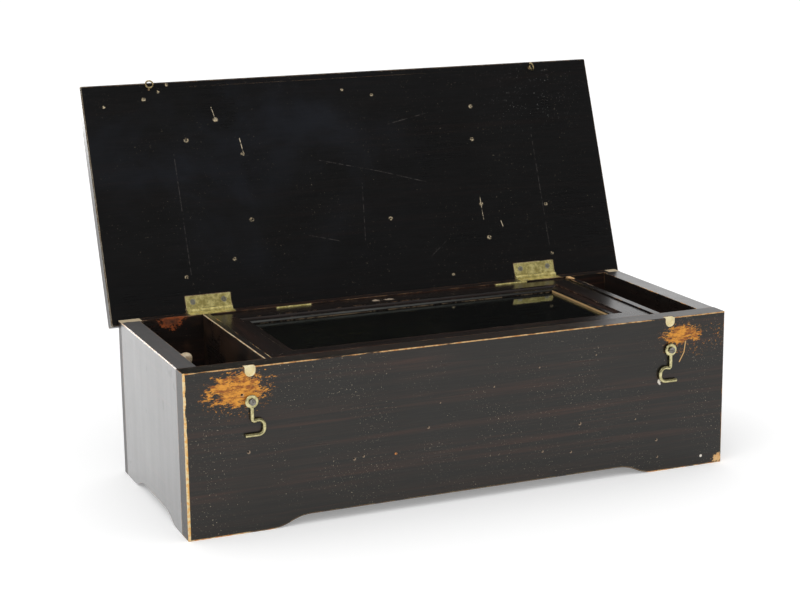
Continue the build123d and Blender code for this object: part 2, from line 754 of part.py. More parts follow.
# ---------------------------------------------------------------- movement: bed and bearings
bed_screw_radius = 1.6
bed_feet = [
    (x, depth)
    for x in (bed_left + bed_foot_inset_ends, bed_right - bed_foot_inset_ends)
    for depth in (bed_front + bed_foot_inset, bed_back - bed_foot_inset)
]
great_wheel_right = barrel_left + barrel_length + great_thick
drive_left = cylinder_right + cylinder_cap_thick + 1.5
bracket_screw_radius = 1.4
bracket_screw_head = 2.6
bracket_screw_head_thick = 1.6
click_pivot = (-8.0, -15.5)  # on the bracket, from the arbor
click_pin_radius = 1.0
click_pin_length = 3.5

# each bearing bracket: where its plate begins, and which way its foot runs
bearing_lefts = {
    "barrel_bearing_left": barrel_left - bearing_clear - bearing_thick,
    "barrel_bearing_right": great_wheel_right + bearing_clear + 2.0,
    "cylinder_bearing_left": great_wheel_right + bearing_clear + 1.0,
    "cylinder_bearing_right": drive_left + drive_thick + bearing_clear,
}
bearing_places = {}
bracket_screw_places = {}
for name, x in bearing_lefts.items():
    depth = barrel_depth if name.startswith("barrel") else cylinder_depth
    foot_left = x - bearing_flange if name == "cylinder_bearing_left" else x + bearing_thick
    bearing_places[name] = (x, depth, foot_left)
    screw_x = foot_left + bearing_flange / 2
    spread = bearing_foot / 2 - 4.0
    bracket_screw_places[name] = [(screw_x, depth - spread), (screw_x, depth + spread)]
all_bracket_screws = [place for pair in bracket_screw_places.values() for place in pair]

# The iron bed stands on four turned feet, held by screws that go down through them.
with BuildPart() as bedplate:
    with BuildSketch(flat(bed_bottom)):
        with Locations(((bed_left + bed_right) / 2, (bed_front + bed_back) / 2)):
            RectangleRounded(bed_right - bed_left, bed_back - bed_front, 6.0)
    extrude(amount=bed_thick)
    with BuildSketch(flat(bed_bottom)):
        with Locations(*bed_feet):
            Circle(bed_screw_radius + running_gap)
    extrude(amount=bed_thick, mode=Mode.SUBTRACT)
    with BuildSketch(flat(bed_top)):
        with Locations(*all_bracket_screws):
            Circle(bracket_screw_radius + running_gap)
    extrude(amount=-bed_thick, mode=Mode.SUBTRACT)
bedplate.part.label = "bedplate"
export_step(bedplate.part, "parts/bedplate.step")
with BuildPart() as bed_pillars:
    with BuildSketch(flat(floor_top)):
        with Locations(*bed_feet):
            Circle(bed_foot_radius)
            Circle(bed_screw_radius + running_gap, mode=Mode.SUBTRACT)
    extrude(amount=bed_lift)
bed_pillars.part.label = "bed_pillars"
export_step(bed_pillars.part, "parts/bed_pillars.step")
with BuildPart() as bed_screws:
    for number, (x, depth) in enumerate(bed_feet):
        head = spot(x, depth, bed_top, (0, 0, 1))
        add_cheese_screw(head, 3.4, 2.0, bed_screw_radius, bed_thick + bed_lift - 0.2, 40 * number)
bed_screws.part.label = "bed_screws"
export_step(bed_screws.part, "parts/bed_screws.step")


# Cast brackets that carry the arbors, each with a foot flange held by two screws.
for pair in ("barrel_bearings", "cylinder_bearings"):
    with BuildPart() as bearings:
        for name, (x, depth, foot_left) in bearing_places.items():
            if not name.startswith(pair[:6]):
                continue
            half = bearing_foot / 2
            with BuildSketch(endwise(x)):
                with BuildLine():
                    Polyline(
                        (depth - half, bed_top),
                        (depth + half, bed_top),
                        (depth + half, bed_top + bearing_flange_thick),
                        (depth + bearing_head, axis_height),
                        (depth - bearing_head, axis_height),
                        (depth - half, bed_top + bearing_flange_thick),
                        close=True,
                    )
                make_face()
                with Locations((depth, axis_height)):
                    Circle(bearing_head)
                    Circle(arbor_radius + running_gap, mode=Mode.SUBTRACT)
            extrude(amount=bearing_thick)
            with BuildSketch(flat(bed_top)):
                with Locations((foot_left, depth)):
                    Rectangle(bearing_flange, bearing_foot, align=(Align.MIN, Align.CENTER))
                with Locations(*bracket_screw_places[name]):
                    Circle(bracket_screw_radius + running_gap, mode=Mode.SUBTRACT)
            extrude(amount=bearing_flange_thick)
        if pair == "barrel_bearings":
            with BuildSketch(axle(bearing_lefts["barrel_bearing_left"], barrel_depth, axis_height)):
                with Locations(click_pivot):
                    Circle(click_pin_radius + running_gap)
            extrude(amount=click_pin_length + running_gap, mode=Mode.SUBTRACT)
    bearings.part.label = pair
    export_step(bearings.part, f"parts/{pair}.step")
with BuildPart() as bracket_screws:
    for number, (x, depth) in enumerate(all_bracket_screws):
        head = spot(x, depth, bed_top + bearing_flange_thick, (0, 0, 1))
        length = bearing_flange_thick + bed_thick
        turn = 25 * number
        add_cheese_screw(
            head, bracket_screw_head, bracket_screw_head_thick, bracket_screw_radius, length, turn
        )
bracket_screws.part.label = "bracket_screws"
export_step(bracket_screws.part, "parts/bracket_screws.step")


# ---------------------------------------------------------------- movement: spring barrel
barrel_right = barrel_left + barrel_length


# The drum with its great wheel, the cap that closes it, and the coiled mainspring inside.
with BuildPart() as barrel:
    with BuildSketch(axle(barrel_left, barrel_depth, axis_height)):
        Circle(barrel_radius)
    extrude(amount=barrel_length)
    with BuildSketch(axle(barrel_right, barrel_depth, axis_height)):
        with BuildLine():
            add(gear_outline(great_teeth, great_module))
        make_face()
    extrude(amount=great_thick)
    with BuildSketch(axle(barrel_left, barrel_depth, axis_height)):
        Circle(barrel_radius - barrel_wall)
    extrude(amount=barrel_length - barrel_wall, mode=Mode.SUBTRACT)
    with BuildSketch(axle(barrel_left, barrel_depth, axis_height)):
        Circle(arbor_radius + running_gap)
    extrude(amount=barrel_length + great_thick, mode=Mode.SUBTRACT)
barrel.part.label = "spring_barrel"
export_step(barrel.part, "parts/spring_barrel.step")
with BuildPart() as barrel_cap:
    with BuildSketch(axle(barrel_left, barrel_depth, axis_height)):
        Circle(barrel_radius - barrel_wall)
        Circle(arbor_radius + running_gap, mode=Mode.SUBTRACT)
    extrude(amount=barrel_wall)
barrel_cap.part.label = "barrel_cap"
export_step(barrel_cap.part, "parts/barrel_cap.step")
spring_strip = 0.8
spring_growth = 0.9  # each half turn of the coil is this much wider
spring_half_turns = 23
with BuildPart() as mainspring:
    with BuildSketch(axle(barrel_left + barrel_wall + 0.5, barrel_depth, axis_height)):
        with BuildLine():
            for thick in (0.0, spring_strip):
                for turn in range(spring_half_turns):
                    radius = arbor_radius + 0.3 + turn * spring_growth + thick
                    side = 1 if turn % 2 == 0 else -1
                    middle = 0.0 if side > 0 else spring_growth
                    ThreePointArc(
                        (middle + side * radius, 0), (middle, side * radius), (middle - side * radius, 0)
                    )
            inner_start = arbor_radius + 0.3
            outer_end = -inner_start - (spring_half_turns - 1) * spring_growth
            Line((inner_start, 0), (inner_start + spring_strip, 0))
            Line((outer_end, 0), (outer_end - spring_strip, 0))
        make_face()
    extrude(amount=barrel_length - 2 * barrel_wall - 1.0)
mainspring.part.label = "mainspring"
export_step(mainspring.part, "parts/mainspring.step")


# ---------------------------------------------------------------- movement: winding work
ratchet_left = lever_plane + lever_thick / 2 + 0.4
holding_left = bearing_lefts["barrel_bearing_left"] - 0.4 - ratchet_thick
arbor_left = lever_plane - lever_thick / 2 - lever_nut_thick
arbor_right = bearing_lefts["barrel_bearing_right"] + bearing_thick + 2.0


# Arbor through the barrel, ratchet wheels, lever, its turned knob and its pawl.
with BuildPart() as winding_arbor:
    with BuildSketch(axle(arbor_left, barrel_depth, axis_height)):
        Circle(arbor_radius)
    extrude(amount=arbor_right - arbor_left)
    with BuildSketch(axle(arbor_left, barrel_depth, axis_height)):
        RegularPolygon(5.5, 6)
    extrude(amount=lever_nut_thick)
winding_arbor.part.label = "winding_arbor"
export_step(winding_arbor.part, "parts/winding_arbor.step")
with BuildPart() as ratchet_wheels:
    for x in (ratchet_left, holding_left):
        with BuildSketch(axle(x, barrel_depth, axis_height)):
            with BuildLine():
                add(ratchet_outline(ratchet_teeth, ratchet_radius, 1.6))
            make_face()
            Circle(arbor_radius, mode=Mode.SUBTRACT)
        extrude(amount=ratchet_thick)
ratchet_wheels.part.label = "ratchet_wheels"
export_step(ratchet_wheels.part, "parts/ratchet_wheels.step")
tilt = radians(90 + lever_lean)
toward = (cos(tilt), sin(tilt))
with BuildPart() as winding_lever:
    with BuildSketch(axle(lever_plane - lever_thick / 2, barrel_depth, axis_height)):
        Circle(lever_hub_radius)
        Circle(arbor_radius, mode=Mode.SUBTRACT)
    extrude(amount=lever_thick)
    arm = Plane(
        (lever_plane - lever_thick / 2, front_y + barrel_depth, axis_height),
        x_dir=(0, *toward),
        z_dir=(1, 0, 0),
    )
    with BuildSketch(arm):
        with BuildLine():
            Polyline(
                (lever_hub_radius - 1.5, -5.0),
                (lever_reach - knob_radius - 4.0, -2.6),
                (lever_reach - knob_radius - 4.0, 2.6),
                (lever_hub_radius - 1.5, 5.0),
                close=True,
            )
        make_face()
    extrude(amount=lever_thick)
winding_lever.part.label = "winding_lever"
export_step(winding_lever.part, "parts/winding_lever.step")
with BuildPart() as lever_knob:
    neck = lever_reach - knob_radius - 4.0
    profile = Plane(arm.origin + Vector(lever_thick / 2, 0, 0), x_dir=arm.x_dir, z_dir=(1, 0, 0))
    with BuildSketch(profile):
        with BuildLine():
            Polyline(
                (lever_reach + knob_radius, 0), (neck, 0), (neck, 3.6), (neck + 1.6, 3.6), (neck + 2.4, 2.8)
            )
            Spline(
                (neck + 2.4, 2.8),
                (lever_reach - 2.5, 4.9),
                (lever_reach + 2.5, 5.4),
                (lever_reach + knob_radius, 0),
                tangents=((1, 0.2), (0, -1)),
            )
        make_face()
    revolve(axis=Axis(profile.origin, profile.x_dir))
lever_knob.part.label = "lever_knob"
export_step(lever_knob.part, "parts/lever_knob.step")
with BuildPart() as winding_pawl:
    with BuildSketch(arm.offset(lever_thick)):
        with BuildLine():
            nose = ratchet_radius + 0.45
            Polyline(
                (nose - 0.5, 3.2),
                (nose + 2.0, 1.0),
                (nose + 13.5, -2.6),
                (nose + 14.5, 2.4),
                (nose + 1.5, 3.8),
                close=True,
            )
        make_face()
    extrude(amount=ratchet_thick)
winding_pawl.part.label = "winding_pawl"
export_step(winding_pawl.part, "parts/winding_pawl.step")
with BuildPart() as holding_click:
    with BuildSketch(axle(holding_left, barrel_depth, axis_height)):
        with BuildLine():
            nose = ratchet_radius + 0.35
            Polyline(
                (-nose, 0.3),
                (-nose - 2.5, -1.0),
                (-nose - 0.8, -19.0),
                (-5.0, -18.0),
                (-nose, -3.0),
                close=True,
            )
        make_face()
    extrude(amount=ratchet_thick)
    with BuildSketch(axle(holding_left - 0.8, barrel_depth, axis_height)):
        with Locations(click_pivot):
            Circle(click_pin_radius)
    extrude(amount=0.8 + ratchet_thick + 0.4 + click_pin_length)
holding_click.part.label = "holding_click"
export_step(holding_click.part, "parts/holding_click.step")
with BuildPart() as partition_bush:
    with BuildSketch(axle(left_wall, barrel_depth, axis_height)):
        Circle(bush_radius)
        Circle(arbor_radius + running_gap, mode=Mode.SUBTRACT)
    extrude(amount=partition_thick)
    with BuildSketch(axle(left_wall, barrel_depth, axis_height)):
        Circle(bush_radius + 2.5)
        Circle(arbor_radius + running_gap, mode=Mode.SUBTRACT)
    extrude(amount=-1.2)
partition_bush.part.label = "partition_bush"
export_step(partition_bush.part, "parts/partition_bush.step")


# ---------------------------------------------------------------- movement: pinned cylinder and comb
tooth_xs = [cylinder_middle + (number - (comb_teeth - 1) / 2) * comb_pitch for number in range(comb_teeth)]
pinion_left = barrel_right
cylinder_arbor_right = bearing_lefts["cylinder_bearing_right"] + bearing_thick + 1.0


# The brass cylinder with its pins, end caps, arbor, left pinion and right drive wheel.
pin_middle = cylinder_radius + pin_height / 2 - 0.2
with BuildPart() as cylinder:
    with BuildSketch(axle(cylinder_left, cylinder_depth, axis_height)):
        Circle(cylinder_radius)
        Circle(arbor_radius, mode=Mode.SUBTRACT)
    extrude(amount=cylinder_right - cylinder_left)
    for x in (cylinder_left - cylinder_cap_thick, cylinder_right):
        with BuildSketch(axle(x, cylinder_depth, axis_height)):
            Circle(cylinder_radius - 0.6)
            Circle(arbor_radius, mode=Mode.SUBTRACT)
        extrude(amount=cylinder_cap_thick)
    pin_spots = []
    for number, x in enumerate(tooth_xs):
        for turn in range(pins_per_tooth):
            angle = radians(turn * 360 / pins_per_tooth + number * 137.508 + 17 * turn * (number % 5))
            out = Vector(0, cos(angle), sin(angle))
            centre = Vector(x, front_y + cylinder_depth, axis_height) + out * pin_middle
            pin_spots.append(Plane(centre, x_dir=out, z_dir=(1, 0, 0)))
    with Locations(*pin_spots):
        Box(pin_height + 0.4, pin_size, pin_size)
cylinder.part.label = "pinned_cylinder"
export_step(cylinder.part, "parts/pinned_cylinder.step")
with BuildPart() as cylinder_arbor:
    with BuildSketch(axle(pinion_left - 1.0, cylinder_depth, axis_height)):
        Circle(arbor_radius)
    extrude(amount=cylinder_arbor_right - pinion_left + 1.0)
cylinder_arbor.part.label = "cylinder_arbor"
export_step(cylinder_arbor.part, "parts/cylinder_arbor.step")
with BuildPart() as cylinder_pinion:
    with BuildSketch(axle(pinion_left, cylinder_depth, axis_height)):
        with BuildLine():
            add(gear_outline(pinion_teeth, great_module, start=180 / pinion_teeth))
        make_face()
        Circle(arbor_radius, mode=Mode.SUBTRACT)
    extrude(amount=great_thick)
cylinder_pinion.part.label = "cylinder_pinion"
export_step(cylinder_pinion.part, "parts/cylinder_pinion.step")
with BuildPart() as drive_wheel:
    with BuildSketch(axle(drive_left, cylinder_depth, axis_height)):
        with BuildLine():
            add(gear_outline(drive_teeth, drive_module, start=drive_angle))
        make_face()
        Circle(arbor_radius, mode=Mode.SUBTRACT)
        with PolarLocations(13.0, 5):
            Circle(4.6, mode=Mode.SUBTRACT)
    extrude(amount=drive_thick)
drive_wheel.part.label = "drive_wheel"
export_step(drive_wheel.part, "parts/drive_wheel.step")


comb_tip = cylinder_depth - cylinder_radius - pin_height - comb_gap
comb_root = comb_tip - bass_tooth
comb_front = comb_root - comb_heel
comb_bottom = axis_height - comb_thick / 2
comb_half = comb_teeth * comb_pitch / 2 + 2.0
comb_screw_radius = 1.5
comb_left = cylinder_middle - comb_half
comb_right = cylinder_middle + comb_half
comb_screw_pitch = 2 * (comb_half - comb_screw_inset) / 5
first_comb_screw = comb_left + comb_screw_inset
comb_screw_places = [(first_comb_screw + n * comb_screw_pitch, comb_front + comb_heel / 2) for n in range(6)]


# The tuned steel comb, long bass teeth at the left, on its brass base with six screws.
outline_points = [(comb_right, comb_front), (comb_left, comb_front)]
for number, x in enumerate(tooth_xs):
    length = bass_tooth + (treble_tooth - bass_tooth) * number / (comb_teeth - 1)
    half = (comb_pitch - comb_slot) / 2
    root = comb_tip - length
    if number == 0:
        outline_points.append((comb_left, root))
    outline_points += [(x - half, root), (x - half * 0.8, comb_tip)]
    outline_points += [(x + half * 0.8, comb_tip), (x + half, root)]
outline_points.append((comb_right, comb_tip - treble_tooth))
with BuildPart() as comb:
    with BuildSketch(flat(comb_bottom)):
        with BuildLine():
            Polyline(*outline_points, close=True)
        make_face()
        with Locations(*comb_screw_places):
            Circle(comb_screw_radius + running_gap, mode=Mode.SUBTRACT)
    extrude(amount=comb_thick)
comb.part.label = "music_comb"
export_step(comb.part, "parts/music_comb.step")
with BuildPart() as comb_base:
    with BuildSketch(endwise(comb_left)):
        with BuildLine():
            Polyline(
                (comb_front, bed_top),
                (comb_front + comb_heel + 6.0, bed_top),
                (comb_front + comb_heel + 6.0, bed_top + 7.0),
                (comb_front + comb_heel, comb_bottom - 5.0),
                (comb_front + comb_heel, comb_bottom),
                (comb_front, comb_bottom),
                close=True,
            )
        make_face()
    extrude(amount=2 * comb_half)
    with BuildSketch(flat(comb_bottom)):
        with Locations(*comb_screw_places):
            Circle(comb_screw_radius + running_gap)
    extrude(amount=-8.0 - running_gap, mode=Mode.SUBTRACT)
comb_base.part.label = "comb_base"
export_step(comb_base.part, "parts/comb_base.step")
with BuildPart() as comb_screws:
    for number, (x, depth) in enumerate(comb_screw_places):
        head = spot(x, depth, comb_bottom + comb_thick, (0, 0, 1))
        add_cheese_screw(head, 2.8, 1.6, comb_screw_radius, comb_thick + 8.0, 30 * number)
comb_screws.part.label = "comb_screws"
export_step(comb_screws.part, "parts/comb_screws.step")


# ---------------------------------------------------------------- movement: governor
worm_wheel_thick = 3.0
cheek_thick = 3.0
cheek_left = cylinder_right + 17.5
cheek_right = cheek_left + 17.5
worm_wheel_x = cheek_left + 10.0
governor_front = governor_depth - 9.0
governor_rear = governor_depth + 20.0
governor_base_thick = 4.0
cheek_top = governor_height + 12.0
fly_low = cheek_top + 3.0
fly_height = 10.0
fly_wing = 10.5
fly_cock_top = fly_low + fly_height + 7.0
fly_post_left = worm_wheel_x + fly_wing + 1.5
fly_post_thick = 4.5


# Cheeks and cock, the pinion arbor with its worm wheel, and the upright fly arbor with worm and fan.
with BuildPart() as governor_frame:
    with BuildSketch(flat(bed_top)):
        with Locations((cheek_left, governor_front)):
            Rectangle(
                fly_post_left - cheek_left, governor_rear - governor_front, align=(Align.MIN, Align.MIN)
            )
    extrude(amount=governor_base_thick)
    for x in (cheek_left, cheek_right):
        with BuildSketch(endwise(x)):
            with BuildLine():
                Polyline(
                    (governor_front, bed_top + governor_base_thick),
                    (governor_rear, bed_top + governor_base_thick),
                    (governor_depth + 7.0, cheek_top),
                    (governor_depth - 7.0, cheek_top),
                    close=True,
                )
            make_face()
            with Locations((governor_depth, governor_height)):
                Circle(governor_arbor_radius + running_gap, mode=Mode.SUBTRACT)
        extrude(amount=cheek_thick)
    with BuildSketch(flat(bed_top + governor_base_thick)):
        with Locations((worm_wheel_x, fly_depth)):
            Circle(fly_arbor_radius + running_gap)
    extrude(amount=-2.0, mode=Mode.SUBTRACT)
governor_frame.part.label = "governor_frame"
export_step(governor_frame.part, "parts/governor_frame.step")
with BuildPart() as fly_cock:
    with BuildSketch(upright(fly_depth + 5.0)):
        with BuildLine():
            Polyline(
                (fly_post_left, bed_top),
                (fly_post_left + fly_post_thick, bed_top),
                (fly_post_left + fly_post_thick, fly_cock_top),
                (worm_wheel_x - 4.0, fly_cock_top),
                (worm_wheel_x - 4.0, fly_cock_top - 3.5),
                (fly_post_left, fly_cock_top - 3.5),
                close=True,
            )
        make_face()
    extrude(amount=10.0)
    with BuildSketch(flat(fly_cock_top - 3.5)):
        with Locations((worm_wheel_x, fly_depth)):
            Circle(fly_arbor_radius + running_gap)
    extrude(amount=2.0, mode=Mode.SUBTRACT)
fly_cock.part.label = "fly_cock"
export_step(fly_cock.part, "parts/fly_cock.step")
with BuildPart() as governor_arbor:
    with BuildSketch(axle(drive_left - 0.5, governor_depth, governor_height)):
        Circle(governor_arbor_radius)
    extrude(amount=cheek_right + cheek_thick + 1.0 - drive_left + 0.5)
    with BuildSketch(axle(drive_left - 0.5, governor_depth, governor_height)):
        with BuildLine():
            add(gear_outline(governor_teeth, drive_module, start=drive_angle + 180 + 180 / governor_teeth))
        make_face()
    extrude(amount=drive_thick + 1.0)
governor_arbor.part.label = "governor_arbor"
export_step(governor_arbor.part, "parts/governor_arbor.step")
with BuildPart() as worm_wheel:
    with BuildSketch(axle(worm_wheel_x - worm_wheel_thick / 2, governor_depth, governor_height)):
        with BuildLine():
            add(gear_outline(worm_wheel_teeth, worm_wheel_module, addendum=0.75, dedendum=1.1, width=0.34))
        make_face()
        Circle(governor_arbor_radius, mode=Mode.SUBTRACT)
    extrude(amount=worm_wheel_thick)
worm_wheel.part.label = "worm_wheel"
export_step(worm_wheel.part, "parts/worm_wheel.step")
worm_lead = pi * worm_wheel_module
worm_turns = 4
worm_start = governor_height - worm_lead * (worm_turns / 2 + 0.25)
with BuildPart() as fly_arbor:
    with BuildSketch(flat(bed_top + governor_base_thick - 1.9)):
        with Locations((worm_wheel_x, fly_depth)):
            Circle(fly_arbor_radius)
    extrude(amount=fly_cock_top - 2.0 - bed_top - governor_base_thick + 1.9)
    with BuildLine() as thread:
        Helix(
            pitch=worm_lead,
            height=worm_lead * worm_turns,
            radius=fly_arbor_radius,
            center=(worm_wheel_x, front_y + fly_depth, worm_start),
        )
    start = thread.line @ 0
    with BuildSketch(Plane(start, x_dir=(1, 0, 0), z_dir=thread.line % 0)) as tooth:
        with BuildLine():
            depth = worm_pitch_radius + worm_engage - fly_arbor_radius
            Polyline((-0.25, -0.45), (depth, -0.22), (depth, 0.22), (-0.25, 0.45), close=True)
        make_face()
    sweep(path=thread.line, is_frenet=True)
fly_arbor.part.label = "fly_arbor"
export_step(fly_arbor.part, "parts/fly_arbor.step")
with BuildPart() as fly_fan:
    with BuildSketch(flat(fly_low)):
        with Locations((worm_wheel_x, fly_depth)):
            Circle(3.0)
            Rectangle(2 * fly_wing, 0.9)
            Circle(fly_arbor_radius, mode=Mode.SUBTRACT)
    extrude(amount=fly_height)
fly_fan.part.label = "fly_fan"
export_step(fly_fan.part, "parts/fly_fan.step")


# ---------------------------------------------------------------- movement: control levers
post_x = cheek_right + 15.0
post_radius = 3.0
lever_bar_thick = 2.4
lever_bar_width = 5.0
handle_x = right_wall + 14.0
knob_length = 9.0


# The start-and-stop lever and the tune-change lever, on posts, their brass knobs past the partition.
bar_bottom = lever_slot_height - lever_bar_thick / 2
with BuildPart() as lever_posts:
    for depth in (stop_depth, change_depth):
        with BuildSketch(flat(bed_top)):
            with Locations((post_x, depth)):
                Circle(post_radius + 2.0)
        extrude(amount=bar_bottom - bed_top - 0.2)
        with BuildSketch(flat(bar_bottom - 0.2)):
            with Locations((post_x, depth)):
                Circle(post_radius)
        extrude(amount=lever_bar_thick + 0.4)
        with BuildSketch(flat(bar_bottom + lever_bar_thick + 0.2)):
            with Locations((post_x, depth)):
                Circle(post_radius + 1.5)
        extrude(amount=1.2)
lever_posts.part.label = "lever_posts"
export_step(lever_posts.part, "parts/lever_posts.step")
stop_tip = (worm_wheel_x + 6.0, fly_depth - fly_wing - 2.0)
change_tip = (worm_wheel_x - 9.5, cylinder_depth + 8.5 - cylinder_radius - 1.0)
for name, depth, tip in (("stop_lever", stop_depth, stop_tip), ("change_lever", change_depth, change_tip)):
    with BuildPart() as control_lever:
        with BuildSketch(flat(bar_bottom)):
            with Locations((post_x, depth)):
                Rectangle(handle_x - post_x, lever_bar_width, align=(Align.MIN, Align.CENTER))
                Circle(post_radius + 2.5)
            reach = hypot(tip[0] - post_x, tip[1] - depth)
            turn = degrees(atan2(tip[1] - depth, tip[0] - post_x))
            with Locations(Location((post_x, depth), turn)):
                Rectangle(reach, lever_bar_width * 0.8, align=(Align.MIN, Align.CENTER))
            with Locations((post_x, depth)):
                Circle(post_radius + running_gap, mode=Mode.SUBTRACT)
        extrude(amount=lever_bar_thick)
        with BuildSketch(upright(depth)):
            with BuildLine():
                Polyline(
                    (handle_x + knob_length, lever_slot_height),
                    (handle_x, lever_slot_height),
                    (handle_x, lever_slot_height + 2.4),
                    (handle_x + 2.0, lever_slot_height + 2.0),
                )
                Spline(
                    (handle_x + 2.0, lever_slot_height + 2.0),
                    (handle_x + 5.5, lever_slot_height + 4.0),
                    (handle_x + knob_length, lever_slot_height),
                    tangents=((1, 0.4), (0, -1)),
                )
            make_face()
        revolve(axis=Axis((0, front_y + depth, lever_slot_height), (1, 0, 0)))
    control_lever.part.label = name
    export_step(control_lever.part, f"parts/{name}.step")
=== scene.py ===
# %% [markdown]
# # A cylinder musical box with its lid open
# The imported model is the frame: every board, hinge, hook and wheel is already there at its real size.
# This lesson dresses it. We load the frame, set up a camera and a plain studio, and then give each
# surface a procedural finish: ebonised wood with its arrises rubbed bare, dulled brass, old glass, a
# turned knob. Each finish is written for the place where it sits, because wear is never the same twice.

# %% Load the frame
import bpy
import math
from mathutils import Matrix, Vector


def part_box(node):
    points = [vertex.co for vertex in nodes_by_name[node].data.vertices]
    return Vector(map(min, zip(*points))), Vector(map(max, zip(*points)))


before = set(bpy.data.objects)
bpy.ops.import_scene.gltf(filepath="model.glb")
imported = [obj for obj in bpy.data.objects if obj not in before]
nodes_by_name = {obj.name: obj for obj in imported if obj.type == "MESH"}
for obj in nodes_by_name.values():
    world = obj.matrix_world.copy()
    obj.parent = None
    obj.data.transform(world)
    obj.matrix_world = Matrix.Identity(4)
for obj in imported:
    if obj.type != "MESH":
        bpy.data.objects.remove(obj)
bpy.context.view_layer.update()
bpy.ops.object.select_all(action="DESELECT")
print("nodes in the frame:", len(nodes_by_name))

# %% [markdown]
# ## The camera
# The photograph was taken from the left and a little above, with a long lens. The camera's place and
# direction come from fitting the corners of the case, so the render lines up with the picture.

# %% Set the camera
front_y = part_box("front_panel")[0].y
case_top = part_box("front_panel")[1].z
camera_place = Vector((-0.64314, front_y - 1.38422, 0.52814))
looking = Vector((0.37649, 0.89870, -0.22495))
camera_right = Vector((0.92129, -0.38872, -0.01105))
camera_up = camera_right.cross(looking)

camera_data = bpy.data.cameras.new("camera")
camera = bpy.data.objects.new("camera", camera_data)
bpy.context.scene.collection.objects.link(camera)
turn = Matrix((camera_right, camera_up, -looking)).transposed()
camera.matrix_world = Matrix.Translation(camera_place) @ turn.to_4x4()
camera_data.sensor_width = 36.0
camera_data.lens = 84.38
camera_data.clip_start = 0.05
camera_data.dof.use_dof = False
bpy.context.scene.camera = camera
bpy.context.scene.view_settings.view_transform = "Standard"
print("camera at", [round(v, 3) for v in camera_place])

# %% [markdown]
# ## Small tools for finishes
# A finish is a chain of nodes. These helpers keep each chain readable. One makes noise stretched along
# the grain, one maps a number to a range, and the rest make masks: a round spot, a scratch between two
# points, a worn arris. All of them work in the object's own coordinates, in metres, so a mark stays at
# its place on the board when the lid moves.


